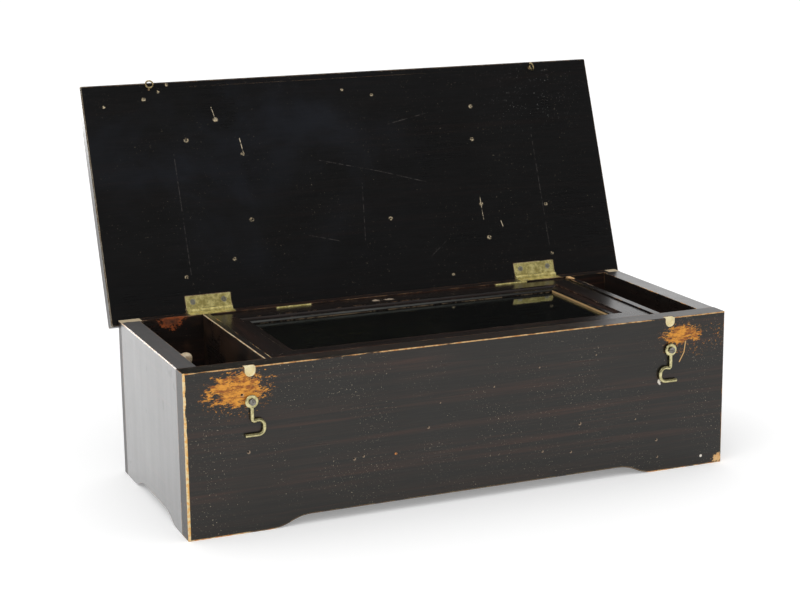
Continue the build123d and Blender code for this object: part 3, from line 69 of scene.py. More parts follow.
# %% Node helpers
class Finish:
    """A material under construction, with short calls for the nodes that these finishes need."""

    def __init__(self, name):
        self.material = bpy.data.materials.new(name)
        self.material.use_nodes = True
        self.tree = self.material.node_tree
        self.shader = self.tree.nodes["Principled BSDF"]
        self.place = self.tree.nodes.new("ShaderNodeTexCoord").outputs["Object"]
        split = self.tree.nodes.new("ShaderNodeSeparateXYZ")
        self.tree.links.new(self.place, split.inputs[0])
        self.x, self.y, self.z = split.outputs

    def add(self, kind, **settings):
        node = self.tree.nodes.new("ShaderNode" + kind)
        for key, value in settings.items():
            setattr(node, key, value)
        return node

    def feed(self, socket, value):
        if isinstance(value, bpy.types.NodeSocket):
            self.tree.links.new(value, socket)
        else:
            socket.default_value = value

    def calc(self, operation, a, b=0.0, clamp=False):
        node = self.add("Math", operation=operation, use_clamp=clamp)
        self.feed(node.inputs[0], a)
        self.feed(node.inputs[1], b)
        return node.outputs[0]

    def vector(self, operation, a, b=(0, 0, 0), result="Vector"):
        node = self.add("VectorMath", operation=operation)
        self.feed(node.inputs[0], a)
        self.feed(node.inputs[1], b)
        return node.outputs[result]

    def noise(self, scale, detail=3.0, rough=0.55, shift=0.0, twist=0.0):
        if not isinstance(scale, tuple):
            scale = (scale, scale, scale)
        mapped = self.add("Mapping")
        self.feed(mapped.inputs["Vector"], self.place)
        mapped.inputs["Scale"].default_value = scale
        mapped.inputs["Location"].default_value = (shift, shift * 1.7, shift * 0.6)
        node = self.add("TexNoise")
        self.feed(node.inputs["Vector"], mapped.outputs[0])
        node.inputs["Scale"].default_value = 1.0
        node.inputs["Detail"].default_value = detail
        node.inputs["Roughness"].default_value = rough
        node.inputs["Distortion"].default_value = twist
        return node.outputs["Fac"]

    def ramp(self, value, low, high, to_low=0.0, to_high=1.0):
        node = self.add("MapRange", interpolation_type="SMOOTHSTEP")
        names = ("Value", "From Min", "From Max", "To Min", "To Max")
        for name, number in zip(names, (value, low, high, to_low, to_high)):
            self.feed(node.inputs[name], number)
        return node.outputs["Result"]

    def tint(self, amount, first, second):
        node = self.add("Mix", data_type="RGBA")
        self.feed(node.inputs["Factor"], amount)
        for socket, value in ((node.inputs[6], first), (node.inputs[7], second)):
            self.feed(socket, (*value, 1.0) if isinstance(value, tuple) else value)
        return node.outputs[2]

    def bump(self, height, distance, strength=1.0, after=None):
        node = self.add("Bump")
        node.inputs["Strength"].default_value = strength
        node.inputs["Distance"].default_value = distance
        self.feed(node.inputs["Height"], height)
        if after is not None:
            self.feed(node.inputs["Normal"], after)
        return node.outputs["Normal"]

    def all_of(self, first, *others):
        for other in others:
            first = self.calc("MULTIPLY", first, other)
        return first

    def any_of(self, first, *others):
        for other in others:
            first = self.calc("MAXIMUM", first, other)
        return first

    def corner(self, radius):
        """Near 1 where the surface turns a corner within the radius, 0 on the flat."""
        rounded = self.add("Bevel", samples=6)
        rounded.inputs["Radius"].default_value = radius
        flat = self.add("NewGeometry")
        alike = self.vector("DOT_PRODUCT", rounded.outputs[0], flat.outputs["Normal"], "Value")
        return self.ramp(alike, 0.995, 0.80)

    def away(self, centre, size):
        """Distance from a centre, counted in sizes; a size of 0 leaves that axis out."""
        scale = tuple(1 / s if s else 0.0 for s in size)
        near = self.vector("MULTIPLY", self.vector("SUBTRACT", self.place, tuple(centre)), scale)
        return self.vector("LENGTH", near, result="Value")

    def spot(self, centre, radius, soft=0.5):
        return self.ramp(self.away(centre, (radius, radius, radius)), 1.0, 1.0 - soft)

    def scratch(self, start, end, width):
        """A thin line between two points, fading at its sides."""
        start, run = Vector(start), Vector(end) - Vector(start)
        offset = self.vector("SUBTRACT", self.place, tuple(start))
        along = self.vector("DOT_PRODUCT", offset, tuple(run), "Value")
        share = self.calc("MULTIPLY", along, 1 / run.length_squared, True)
        scaled = self.add("VectorMath", operation="SCALE")
        scaled.inputs[0].default_value = tuple(run)
        self.feed(scaled.inputs["Scale"], share)
        gap = self.vector("DISTANCE", offset, scaled.outputs[0], "Value")
        return self.ramp(gap, width, width * 0.3)

    def arris(self, along, first, second, width, cover=0.6, shift=0.0):
        """A ragged worn line on the straight edge where two coordinates meet.

        along names the axis the edge runs on; first and second are the other two coordinates, in order.
        """
        others = [getattr(self, letter) for letter in "xyz" if letter != along]
        gaps = [self.calc("ABSOLUTE", self.calc("SUBTRACT", o, v)) for o, v in zip(others, (first, second))]
        scale = tuple(45.0 if letter == along else 260.0 for letter in "xyz")
        ragged = self.noise(scale, 5, 0.68, shift + 3.1)
        reach = self.ramp(ragged, 0.66 - 0.42 * cover, 0.76 - 0.26 * cover, 0.0, width)
        return self.ramp(self.calc("SUBTRACT", reach, self.any_of(*gaps)), 0.0, 0.0004)

    def rubbed_patch(self, centre, size, grain, hold=0.0, shift=0.0):
        """A patch rubbed through the stain: solid in the middle, breaking into streaks and specks."""
        solid = self.calc("SUBTRACT", 1.0 + hold, self.away(centre, size))
        fray = self.calc("SUBTRACT", self.noise(grain, 6, 0.72, shift + 5.3), 0.5)
        fine = self.calc("SUBTRACT", self.noise(tuple(g * 4.5 for g in grain), 4, 0.7, shift + 1.3), 0.5)
        broken = self.calc("ADD", self.calc("MULTIPLY", fray, 3.4), self.calc("MULTIPLY", fine, 1.3))
        return self.all_of(self.ramp(self.calc("ADD", solid, broken), 0.35, 0.6), self.ramp(solid, -1.4, 0.1))

    def set(self, name, value):
        self.feed(self.shader.inputs[name], (*value, 1.0) if isinstance(value, tuple) else value)


def dress(finish, *node_names):
    """Puts a finish on CAD nodes through their material slots."""
    for name in node_names:
        thing = nodes_by_name[name]
        if not thing.material_slots:
            thing.data.materials.append(finish.material)
        for material_slot in thing.material_slots:
            material_slot.material = finish.material
    print(finish.material.name, "on", ", ".join(node_names))


# %% [markdown]
# ## Ebonised wood
# The case is plain hardwood, stained black and polished. Close up it is a very dark brown with reddish
# streaks along the grain, tiny pale specks of dust and chips, and a gloss that changes from hand to
# hand. Where hands, hooks and the lid have rubbed it, the pale wood shows. The finish is made in
# layers: stain, red streaks, specks, worn edges, then the marks that belong to one board only.


# %% Stain and polish
cream = (0.80, 0.62, 0.34)
amber = (0.74, 0.30, 0.055)


def stretched(grain, along, across):
    return tuple(along if letter == grain else across for letter in "xyz")


class EbonisedWood(Finish):
    def __init__(self, name, grain, red=0.5, gloss=0.2, specks=0.3, lift=0.0, stain=(0.0085, 0.0068, 0.0060)):
        super().__init__(name)
        broad = self.noise(stretched(grain, 3.0, 60.0), 4, 0.6, 1.3, 0.4)
        streaks = self.noise(stretched(grain, 5.0, 230.0), 5, 0.64, 2.9, 0.4)
        self.pores = self.noise(stretched(grain, 40.0, 1700.0), 3, 0.6, 4.1)
        self.cloud = self.noise(11.0, 4, 0.55, 3.2)
        thinner = tuple(1.9 * part + lift for part in stain)
        self.colour = self.tint(self.ramp(self.pores, 0.3, 0.75), stain, thinner)
        warm = self.all_of(self.ramp(streaks, 0.40, 0.76), self.ramp(broad, 0.36, 0.66, 0.15, 1.0))
        self.colour = self.tint(self.calc("MULTIPLY", warm, red), self.colour, (0.088, 0.034, 0.020))
        self.rough = self.ramp(self.cloud, 0.3, 0.7, gloss, gloss + 0.08)
        self.rough = self.calc("ADD", self.rough, self.ramp(self.pores, 0.3, 0.8, 0.0, 0.05))
        dust = self.ramp(self.noise(620.0, 3, 0.75, 7.7), 0.70 - 0.08 * specks, 0.74 - 0.08 * specks)
        drifts = self.ramp(self.noise(24.0, 3, 0.6, 0.9), 0.40, 0.60, 0.0, min(1.0, 1.5 * specks))
        self.cover(self.all_of(dust, drifts), (0.40, 0.34, 0.25), 0.2)

    def cover(self, mask, colour, rougher=0.35):
        """Lays a colour over what is there, and dulls the polish under it."""
        self.colour = self.tint(mask, self.colour, colour)
        self.rough = self.calc("ADD", self.rough, self.calc("MULTIPLY", mask, rougher))

    def wear(self, mask, core=cream, rim=amber):
        """Bare wood: amber where the stain thins, cream where it is gone."""
        blotch = self.ramp(self.noise(190.0, 4, 0.65, 9.4), 0.40, 0.58)
        self.cover(mask, self.tint(blotch, rim, core))

    def rub_corners(self, radius, cover, core=(0.42, 0.24, 0.11), rim=(0.22, 0.09, 0.035)):
        """A general light wear wherever the board turns a corner, such as along the arch."""
        patchy = self.ramp(self.noise(75.0, 5, 0.66, 6.1), 0.68 - 0.34 * cover, 0.74 - 0.2 * cover)
        self.wear(self.all_of(self.corner(radius), patchy), core, rim)

    def finish(self, bump=1.0):
        self.set("Base Color", self.colour)
        self.set("Roughness", self.rough)
        grain_bump = self.bump(self.pores, 0.00003, 0.5 * bump)
        self.set("Normal", self.bump(self.cloud, 0.0010, 0.3 * bump, grain_bump))
        return self


# %% [markdown]
# ### The front
# The front carries most of the story. The two hooks have swung on it and rubbed two amber patches
# round their screws; there are small pits, a white chip and a corner knocked off at the lower right.
# The top and left arrises are bare nearly from end to end. Fine splashes of bare wood surround the
# patches, and the rim of the arch is rubbed too.


# %% Front panel
def on_front(x, z):
    return (x / 1000, front_y, z / 1000)


left_end, right_end = -0.250, 0.250
front_stain = (0.0090, 0.0080, 0.0062)
front = EbonisedWood("ebonised_front", "x", red=0.5, gloss=0.26, specks=0.85, stain=front_stain)
front.rub_corners(0.0016, 0.75)
front.wear(front.arris("x", front_y, case_top, 0.0010, 0.92), (0.70, 0.45, 0.20), (0.50, 0.22, 0.06))
front.wear(front.arris("z", left_end, front_y, 0.0021, 1.0), (0.86, 0.68, 0.38), (0.84, 0.44, 0.11))
front.wear(front.arris("z", right_end, front_y, 0.0016, 0.45), (0.5, 0.3, 0.14), (0.34, 0.13, 0.04))
front.wear(front.arris("x", front_y, 0.0, 0.0013, 0.85))
arch_rim = front.all_of(
    front.corner(0.0017),
    front.ramp(front.z, 0.030, 0.026),
    front.ramp(front.noise(60.0, 4, 0.6, 3.3), 0.36, 0.48),
)
front.wear(arch_rim, (0.72, 0.52, 0.25), (0.52, 0.27, 0.09))

near_face = front.ramp(front.y, front_y + 0.004, front_y + 0.002)
by_left_hook = front.rubbed_patch(on_front(-205, 121.5), (0.023, 0, 0.0140), (85, 85, 210), 0.42)
by_right_hook = front.rubbed_patch(on_front(206, 123.5), (0.0195, 0, 0.0100), (90, 90, 210), 0.22, 2.2)
flicked = front.all_of(
    front.ramp(front.noise((420, 420, 620), 5, 0.72, 6.6), 0.60, 0.65),
    front.ramp(front.any_of(
        front.calc("SUBTRACT", 1.0, front.away(on_front(217, 120), (0.042, 0, 0.020))),
        front.calc("SUBTRACT", 1.0, front.away(on_front(-207, 118), (0.036, 0, 0.024))),
    ), 0.0, 0.35),
)
patches = front.all_of(front.any_of(by_left_hook, by_right_hook, flicked), near_face)
deep = front.ramp(front.noise((150, 150, 420), 4, 0.7, 8.1), 0.36, 0.6)
front.cover(patches, front.tint(deep, (0.27, 0.075, 0.012), (0.78, 0.33, 0.040)), 0.3)
hook_swing = front.any_of(
    front.scratch(on_front(210, 117), on_front(208.5, 107), 0.0007),
    front.scratch(on_front(208.5, 107), on_front(204, 99), 0.0007),
)
front.cover(hook_swing, (0.70, 0.42, 0.16))

pit_places = [
    (-201.6, 117.5, 1.5), (-197.7, 69.2, 1.5), (-106.2, 51.1, 1.3), (-98, 52.4, 1.1), (-39.1, 69.8, 1.2),
    (104.8, 54.7, 1.4), (96.1, 30.2, 1.1), (65, 110, 0.8), (22, 98, 0.8), (120, 115, 0.7), (160, 52, 0.8),
    (-28, 90, 0.7), (181.7, 30, 1.3), (182.9, 14.2, 1.1), (68.4, 34.4, 1.1),
]
rims = [front.spot(on_front(x + 0.5, z - 0.5), r / 800) for x, z, r in pit_places]
holes = [front.spot(on_front(x, z), r / 1300, 0.4) for x, z, r in pit_places]
front.cover(front.calc("MULTIPLY", front.any_of(*rims), 0.55), (0.50, 0.36, 0.24))
front.cover(front.any_of(*holes), (0.006, 0.004, 0.004), 0.4)

splinter = front.ramp(front.noise(900.0, 3, 0.6, 2.0), 0.34, 0.48)
chips = [(183.8, 83.2, 1.9, 2.6), (228.6, 8.6, 1.6, 1.6), (184.6, 80.9, 1.3, 1.2), (-68.4, 50.3, 1.5, 1.2)]
for x, z, wide, high in chips:
    chip = front.ramp(front.away(on_front(x, z), (wide / 1000, 0, high / 1000)), 1.0, 0.6)
    chip_colour = (0.86, 0.80, 0.70) if x > 0 else (0.62, 0.24, 0.06)
    front.cover(front.all_of(chip, near_face, splinter), chip_colour)
knocked = front.rubbed_patch(on_front(246, 4), (0.008, 0, 0.005), (120, 120, 120), 0.2, 4.0)
front.cover(knocked, front.tint(front.noise(300.0, 4), amber, cream), 0.4)

notch_side = front.calc("SUBTRACT", front.calc("ABSOLUTE", front.x), 0.194)
inside_notch = front.all_of(
    front.ramp(front.calc("ABSOLUTE", notch_side), 0.0050, 0.0045),
    front.ramp(front.y, front_y + 0.0002, front_y + 0.0006),
    front.ramp(front.y, front_y + 0.0062, front_y + 0.0056),
    front.ramp(front.z, 0.1312, 0.1318),
    front.ramp(front.z, case_top - 0.0001, case_top - 0.0004),
)
chiselled = front.tint(front.noise((220, 220, 700), 4), (0.84, 0.72, 0.42), (0.98, 0.93, 0.70))
front.cover(inside_notch, chiselled, 0.5)
front.finish()
front.shader.inputs["Specular IOR Level"].default_value = 0.42
dress(front, "front_panel")

# %% [markdown]
# ### The back, the ends and the inside boards
# The back's end grain shows as pale squares at the tops of its two ends, and its inner face is rubbed
# amber in the winding compartment. The left end is the shiniest board. It gets a coat of polish and a
# thin dusty sheen, which the photograph shows as pale grey at a low angle.

# %% Back panel
back_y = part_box("back_panel")[0].y
back = EbonisedWood("ebonised_back", "x", red=0.6, gloss=0.24, specks=0.3)
back.rub_corners(0.0014, 0.7)
back.wear(back.arris("x", back_y, case_top, 0.0008, 0.35), (0.40, 0.26, 0.16), (0.24, 0.11, 0.05))
end_grain = back.tint(back.noise((500, 90, 500), 5, 0.7), (0.42, 0.30, 0.18), (0.72, 0.62, 0.42))
for low, high in ((-0.2515, -0.231), (0.2385, 0.2515)):
    square = back.all_of(
        back.ramp(back.x, low - 0.0004, low + 0.0004),
        back.ramp(back.x, high + 0.0004, high - 0.0004),
        back.ramp(back.z, case_top - 0.0006, case_top - 0.0002),
    )
    back.cover(square, end_grain, 0.4)
inner_face = back.ramp(back.y, back_y + 0.003, back_y + 0.001)
wedge = back.rubbed_patch((-0.205, 0, 0.139), (0.016, 0, 0.013), (130, 130, 190), 0.1, 1.1)
back.cover(back.all_of(wedge, inner_face), (0.34, 0.075, 0.014), 0.3)
in_left_bay = back.ramp(back.x, -0.16, -0.18)
thin_stain = back.all_of(back.ramp(back.noise(60.0, 4), 0.5, 0.7), inner_face, in_left_bay)
back.cover(thin_stain, (0.045, 0.020, 0.010), 0.2)
back.finish()
dress(back, "back_panel")

# %% End panels
for node_name, outer, cover, gloss, specular, coat, sheen in (
    ("left_end_panel", left_end, 0.95, 0.27, 0.95, 1.0, 0.5),
    ("right_end_panel", right_end, 0.5, 0.22, 0.5, 0.6, 0.0),
):
    board = EbonisedWood("ebonised_" + node_name, "y", red=0.35, gloss=gloss, specks=0.5, lift=0.002)
    board.rub_corners(0.0016, 0.75)
    board.wear(board.arris("y", outer, case_top, 0.0009, cover), (0.82, 0.56, 0.28), (0.62, 0.30, 0.10))
    board.wear(board.arris("y", outer - math.copysign(0.017, outer), case_top, 0.0009, 0.5))
    dents = board.ramp(board.noise(70.0, 2, 0.4, 12.0), 0.68, 0.78, 0.0, 0.12)
    board.rough = board.calc("ADD", board.rough, dents)
    wiped = board.ramp(board.noise((50, 50, 7), 4, 0.6, 6.4), 0.36, 0.66, 0.0, 0.07)
    board.rough = board.calc("ADD", board.rough, wiped)
    board.finish(1.6)
    board.shader.inputs["Sheen Weight"].default_value = sheen
    board.shader.inputs["Sheen Roughness"].default_value = 0.3
    board.shader.inputs["Specular IOR Level"].default_value = specular
    board.shader.inputs["Coat Weight"].default_value = coat
    board.shader.inputs["Coat Roughness"].default_value = 0.24
    dress(board, node_name)

# %% Partitions
low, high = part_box("left_partition")
partition = EbonisedWood("ebonised_left_partition", "y", red=0.4, gloss=0.22, specks=0.2, lift=0.001)
partition.wear(partition.arris("y", low.x, high.z, 0.0009, 1.0), (0.86, 0.70, 0.46), (0.76, 0.50, 0.24))
partition.wear(partition.arris("y", high.x, high.z, 0.0007, 0.5))
bay_face = partition.ramp(partition.x, low.x + 0.002, low.x)
faded = partition.all_of(partition.ramp(partition.noise(32.0, 4, 0.6, 2.0), 0.42, 0.62, 0.0, 0.25), bay_face)
partition.cover(faded, (0.11, 0.055, 0.028), 0.2)
partition.finish()
dress(partition, "left_partition")

low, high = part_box("right_partition")
divider = EbonisedWood("ebonised_right_partition", "y", red=0.35, gloss=0.2, specks=0.2)
divider.wear(divider.arris("y", low.x, high.z, 0.0007, 0.5), (0.50, 0.30, 0.15), (0.26, 0.11, 0.04))
divider.wear(divider.arris("y", high.x, high.z, 0.0007, 0.4), (0.66, 0.52, 0.34), (0.30, 0.16, 0.08))
bare_place = (high.x - 0.002, high.y - 0.006, high.z)
bare_end = divider.rubbed_patch(bare_place, (0.005, 0.008, 0.004), (150, 150, 150), 0.3)
divider.cover(bare_end, divider.tint(divider.noise(260.0), amber, cream), 0.3)
divider.finish()
dress(divider, "right_partition")

# %% [markdown]
# ### The glazed inner lid
# Its flat bars are polished like the case. Beside the pane, the right bar's edge was never stained and
# shows as a thin golden line. A pale line along the moulding of the rear bar is a painted highlight.

# %% Glazed lid bars
pane_sides = {
    "glass_frame_front_rail": ("x", "y", 1),
    "glass_frame_rear_rail": ("x", "y", 0),
    "glass_frame_left_stile": ("y", "x", 1),
    "glass_frame_right_stile": ("y", "x", 0),
}
glass_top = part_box("glass_pane")[1].z
for node_name, (grain, across, side) in pane_sides.items():
    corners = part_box(node_name)
    bar_top = corners[1].z
    pane_edge = getattr(corners[side], across)
    bar = EbonisedWood("ebonised_" + node_name, grain, red=0.35, gloss=0.17, specks=0.2)
    bar.rub_corners(0.0008, 0.5, (0.26, 0.15, 0.08), (0.10, 0.045, 0.02))
    upward = bar.vector("DOT_PRODUCT", bar.add("NewGeometry").outputs["Normal"], (0, 0, 1), "Value")
    is_right = node_name == "glass_frame_right_stile"
    bare_height = 0.0017 if is_right else 0.0004
    bare_edge = bar.all_of(
        bar.ramp(bar.z, glass_top + bare_height + 0.0003, glass_top + bare_height),
        bar.ramp(bar.calc("ABSOLUTE", upward), 0.35, 0.15),
        bar.ramp(bar.calc("ABSOLUTE", bar.calc("SUBTRACT", getattr(bar, across), pane_edge)), 0.0064, 0.0060),
        bar.ramp(bar.noise(70.0, 4, 0.6, 1.9), *((0.2, 0.3) if is_right else (0.46, 0.56))),
    )
    unstained = bar.tint(bar.noise((200, 200, 600), 4, 0.6), (0.42, 0.22, 0.08), (0.86, 0.62, 0.30))
    bar.cover(bare_edge, unstained if is_right else (0.20, 0.14, 0.08), 0.3)
    if node_name == "glass_frame_rear_rail":
        # painted highlight: a pale grey line along the rear bar's moulding, stronger at the left and fading
        # to the right
        painted_highlight_line = bar.all_of(
            bar.ramp(bar.z, glass_top + 0.0010, glass_top + 0.0014),
            bar.ramp(bar.z, glass_top + 0.0031, glass_top + 0.0026),
            bar.ramp(bar.calc("ABSOLUTE", upward), 0.6, 0.3),
            bar.ramp(bar.noise((9, 60, 60), 3, 0.5, 4.4), 0.30, 0.55, 0.35, 0.85),
            bar.ramp(bar.x, 0.16, -0.08, 0.25, 1.0),
        )
        bar.cover(painted_highlight_line, (0.17, 0.175, 0.165), 0.2)
        for x in (-0.012, 0.001):
            middle = (x, corners[0].y + 0.018, bar_top)
            smear = bar.rubbed_patch(middle, (0.007, 0.004, 0.004), (160, 160, 160), 0.0, x * 90)
            bar.cover(smear, (0.42, 0.33, 0.24), 0.3)
    bar.finish()
    dress(bar, node_name)

# %% [markdown]
# ### The lid
# Its inside is the blackest surface of all, with a faint blue sheen painted into its left part, old nail
# holes and scratches where something was once screwed to it. Its edges are rubbed pale all the way round.


# %% Lid
axis_y, axis_z = 0.0612905, 0.140
lean = math.radians(20.5)


def on_lid(x, along):
    """A point on the lid's inner face, given in millimetres across and up from the hinge axis."""
    rise = along / 1000
    return (x / 1000, axis_y + rise * math.sin(lean), axis_z + rise * math.cos(lean))


lid_stain = (0.0036, 0.0035, 0.0036)
lid = EbonisedWood("ebonised_lid", "x", red=0.05, gloss=0.25, specks=0.35, stain=lid_stain)
inner_normal = (0.0, -math.cos(lean), math.sin(lean))
from_axis = lid.vector("SUBTRACT", lid.place, on_lid(0, 0))
depth = lid.calc("ABSOLUTE", lid.vector("DOT_PRODUCT", from_axis, inner_normal, "Value"))
inside_face = lid.ramp(depth, 0.0035, 0.0020)
lid_board = lid.noise((7.0, 150.0, 150.0), 5, 0.64, 8.8, 0.4)
outside_face = lid.ramp(depth, 0.0040, 0.0060)
lid.cover(lid.all_of(lid.ramp(lid_board, 0.40, 0.72, 0.0, 0.75), outside_face), (0.040, 0.019, 0.013), 0.04)
handled = lid.all_of(lid.ramp(lid.noise(26.0, 6, 0.68, 2.4), 0.60, 0.68), outside_face)
lid.cover(lid.all_of(handled, lid.ramp(lid.noise(420.0, 4, 0.7, 6.0), 0.50, 0.60)), (0.20, 0.13, 0.08), 0.15)
# painted sheen: a faint blue tint on the left of the lid's inside stands for the bluish reflection in its
# polish; the polish is made a little rougher there too
blue_sheen_noise = lid.ramp(lid.noise(9.0, 5, 0.6, 0.4, 0.5), 0.40, 0.72, 0.0, 0.60)
painted_blue_sheen = lid.all_of(blue_sheen_noise, lid.ramp(lid.away(on_lid(-110, 150), (0.20, 0.12, 0.14)), 1.2, 0.2))
lid.cover(painted_blue_sheen, (0.014, 0.017, 0.026), 0.10)
lid.rub_corners(0.0015, 0.95, (0.60, 0.42, 0.25), (0.30, 0.14, 0.06))
lid_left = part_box("lid")[0].x
left_arris = lid.all_of(lid.corner(0.0012), lid.ramp(lid.x, lid_left + 0.003, lid_left + 0.002))
lid.wear(left_arris, (0.92, 0.84, 0.66), (0.78, 0.60, 0.36))
nail_holes = [
    (-236.6, 192.7, 1.0), (-199.2, 197.7, 1.4), (-184.8, 204, 1.1), (-176.3, 210.2, 1.2),
    (-134.4, 174.8, 1.6), (-164.7, 157.5, 1.6), (-113, 141.1, 1.3), (-113.1, 79.3, 1.5),
    (-134.5, 44.4, 1.3), (-181.7, 31.9, 1.2),
    (-6.6, 195.9, 1.0), (22.6, 189.3, 1.1), (123.6, 171.9, 1.4), (119.9, 139.4, 1.5), (119.1, 75.7, 1.4),
    (122.3, 42.4, 1.6), (23.6, 69.1, 1.4), (79, 9.9, 1.1), (188.1, 69.9, 1.3), (186.3, 21.2, 1.2),
]
torn = lid.ramp(lid.noise(700.0, 4, 0.7, 1.0), 0.42, 0.58)
rims = [lid.ramp(lid.away(on_lid(x, s), (r / 540, 0, r / 660)), 1.0, 0.45) for x, s, r in nail_holes]
torn_colour = lid.tint(lid.noise(420.0), (0.34, 0.22, 0.10), (0.80, 0.70, 0.48))
lid.cover(lid.all_of(lid.any_of(*rims), torn, inside_face), torn_colour, 0.3)
pits = [lid.spot(on_lid(x + 0.3, s + 0.4), r / 1900) for x, s, r in nail_holes[3:]]
lid.cover(lid.all_of(lid.any_of(*pits), inside_face), (0.03, 0.016, 0.008), 0.3)

deep_lines = [
    ((-136.9, 186.7), (-134.4, 175)), ((136.9, 59), (138.5, 52)), ((-114, 156), (-112, 142)),
    ((118.8, 84), (119.2, 60)),
]
faint_lines = [
    ((-177, 30), (-178, 145)), ((185, 30), (184, 140)), ((0, 105), (-5, 50)), ((-40, 130), (20, 115)),
    ((20, 115), (70, 100)), ((80, 45), (60, 30)), ((-60, 60), (-30, 52)), ((35, 160), (75, 168)),
]
broken = lid.ramp(lid.noise(260.0, 4, 0.7, 5.0), 0.42, 0.58)
deep_scratch = lid.any_of(*[lid.scratch(on_lid(*a), on_lid(*b), 0.0005) for a, b in deep_lines])
faint_scratch = lid.any_of(*[lid.scratch(on_lid(*a), on_lid(*b), 0.0004) for a, b in faint_lines])
lid.cover(lid.all_of(deep_scratch, broken), (0.62, 0.52, 0.36), 0.2)
lid.cover(lid.all_of(faint_scratch, broken, 0.35), (0.17, 0.15, 0.14), 0.1)
flecks = lid.all_of(
    lid.ramp(lid.noise(800.0, 3, 0.7, 3.0), 0.68, 0.72),
    lid.ramp(lid.away(on_lid(190, 180), (0.08, 0.05, 0.05)), 1.0, 0.2),
)
lid.cover(flecks, (0.55, 0.55, 0.52), 0.2)
lid.finish(0.8)
lid.shader.inputs["Specular IOR Level"].default_value = 0.3
dress(lid, "lid")

# %% Floor board, ledges and beads
for node_names in (("floor_board", "frame_ledges"), ("glazing_beads",)):
    inner = EbonisedWood("stained_" + node_names[0], "x", red=0.9, gloss=0.45, specks=0.6, lift=0.009)
    inner.rub_corners(0.0012, 0.6, (0.3, 0.17, 0.08), (0.14, 0.06, 0.025))
    inner.finish()
    dress(inner, *node_names)


# %% [markdown]
# ## Brass, steel and iron
# The brass has dulled to a yellow olive, darker in the hollows, with polish left where fingers and
# neighbouring parts rub it. The movement has stayed cleaner under its glass. The steel is grey, and
# the bed is cast iron under dark paint.


# %% Metals
def metal(name, bright, dull, rough_low, rough_high, spots=0.5, brushed=(900, 900, 900), polish=0.35):
    made = Finish(name)
    cloud = made.noise(230.0, 5, 0.62, 2.2)
    speck = made.ramp(made.noise(1500.0, 4, 0.7, 5.5), 0.58, 0.70, 0.0, spots)
    colour = made.tint(made.ramp(cloud, 0.32, 0.66), bright, dull)
    colour = made.tint(speck, colour, tuple(c * 0.28 for c in dull))
    rubbed = made.calc("MULTIPLY", made.corner(0.0005), polish)
    made.set("Base Color", made.tint(rubbed, colour, tuple(min(1.0, c * 1.5) for c in bright)))
    made.shader.inputs["Metallic"].default_value = 1.0
    rough = made.ramp(cloud, 0.25, 0.75, rough_low, rough_high)
    made.set("Roughness", made.calc("ADD", rough, made.calc("MULTIPLY", speck, 0.2)))
    lines = made.noise(brushed, 3, 0.6, 7.0)
    made.set("Normal", made.bump(cloud, 0.00012, 0.35, made.bump(lines, 0.00002, 0.5)))
    return made


hinge_brass = metal(
    "hinge_brass", (0.98, 0.86, 0.36), (0.46, 0.38, 0.12), 0.30, 0.50, 0.75, (60, 1800, 1800), 0.8
)
hinge_brass.shader.inputs["Metallic"].default_value = 0.62
hook_brass = metal("hook_brass", (0.72, 0.65, 0.36), (0.44, 0.40, 0.20), 0.26, 0.44, 0.6)
eye_brass = metal("eye_brass", (0.60, 0.48, 0.24), (0.22, 0.16, 0.08), 0.24, 0.40, 0.7)
movement_brass = metal(
    "movement_brass", (0.86, 0.62, 0.25), (0.66, 0.49, 0.21), 0.18, 0.32, 0.2, (80, 1500, 1500)
)
dark_steel = metal("dark_steel", (0.30, 0.29, 0.27), (0.16, 0.14, 0.12), 0.34, 0.55, 0.5)
polished_steel = metal(
    "polished_steel", (0.58, 0.58, 0.59), (0.44, 0.43, 0.42), 0.2, 0.35, 0.25, (90, 1600, 1600)
)
screw_metal = metal("screw_metal", (0.92, 0.88, 0.72), (0.56, 0.52, 0.38), 0.26, 0.40, 0.5)
dress(
    hinge_brass, "hinge_case_leaves", "hinge_lid_leaves", "hinge_pins",
    "small_hinge_case_leaves", "small_hinge_frame_leaves",
)
dress(eye_brass, "lid_eyes")
dress(hook_brass, "hook_left", "hook_right", "partition_bush", "stop_lever", "change_lever")
dress(screw_metal, "hinge_case_screws", "hinge_lid_screws")
dress(
    movement_brass, "spring_barrel", "barrel_cap", "pinned_cylinder", "drive_wheel", "worm_wheel",
    "governor_frame", "fly_cock", "fly_fan", "comb_base", "barrel_bearings", "cylinder_bearings",
    "lever_posts",
)
dress(
    polished_steel, "bed_screws", "bed_pillars", "bracket_screws", "comb_screws", "cylinder_arbor",
    "cylinder_pinion", "fly_arbor", "governor_arbor", "mainspring", "music_comb", "winding_arbor",
)
dress(dark_steel, "hook_screws", "holding_click", "ratchet_wheels", "winding_lever", "winding_pawl")

# %% Iron bed, blocks and knob
iron = Finish("painted_iron")
chipped = iron.all_of(iron.corner(0.001), iron.ramp(iron.noise(90.0, 4, 0.6, 1.0), 0.46, 0.6))
paint = iron.tint(iron.ramp(iron.noise(300.0, 4), 0.3, 0.7), (0.016, 0.018, 0.020), (0.036, 0.037, 0.038))
iron.set("Base Color", iron.tint(chipped, paint, (0.12, 0.075, 0.05)))
iron.set("Roughness", iron.ramp(iron.noise(90.0), 0.3, 0.7, 0.35, 0.55))
iron.set("Normal", iron.bump(iron.noise(1100.0, 3), 0.00008, 0.5))
dress(iron, "bedplate")

blocks = Finish("bare_blocks")
rings = blocks.noise((45, 45, 600), 5, 0.6, 2.0, 0.3)
blocks.set("Base Color", blocks.tint(blocks.ramp(rings, 0.35, 0.7), (0.26, 0.15, 0.07), (0.46, 0.31, 0.17)))
blocks.set("Roughness", blocks.ramp(blocks.noise(60.0), 0.3, 0.7, 0.6, 0.8))
blocks.set("Normal", blocks.bump(rings, 0.0001, 0.5))
dress(blocks, "corner_blocks")

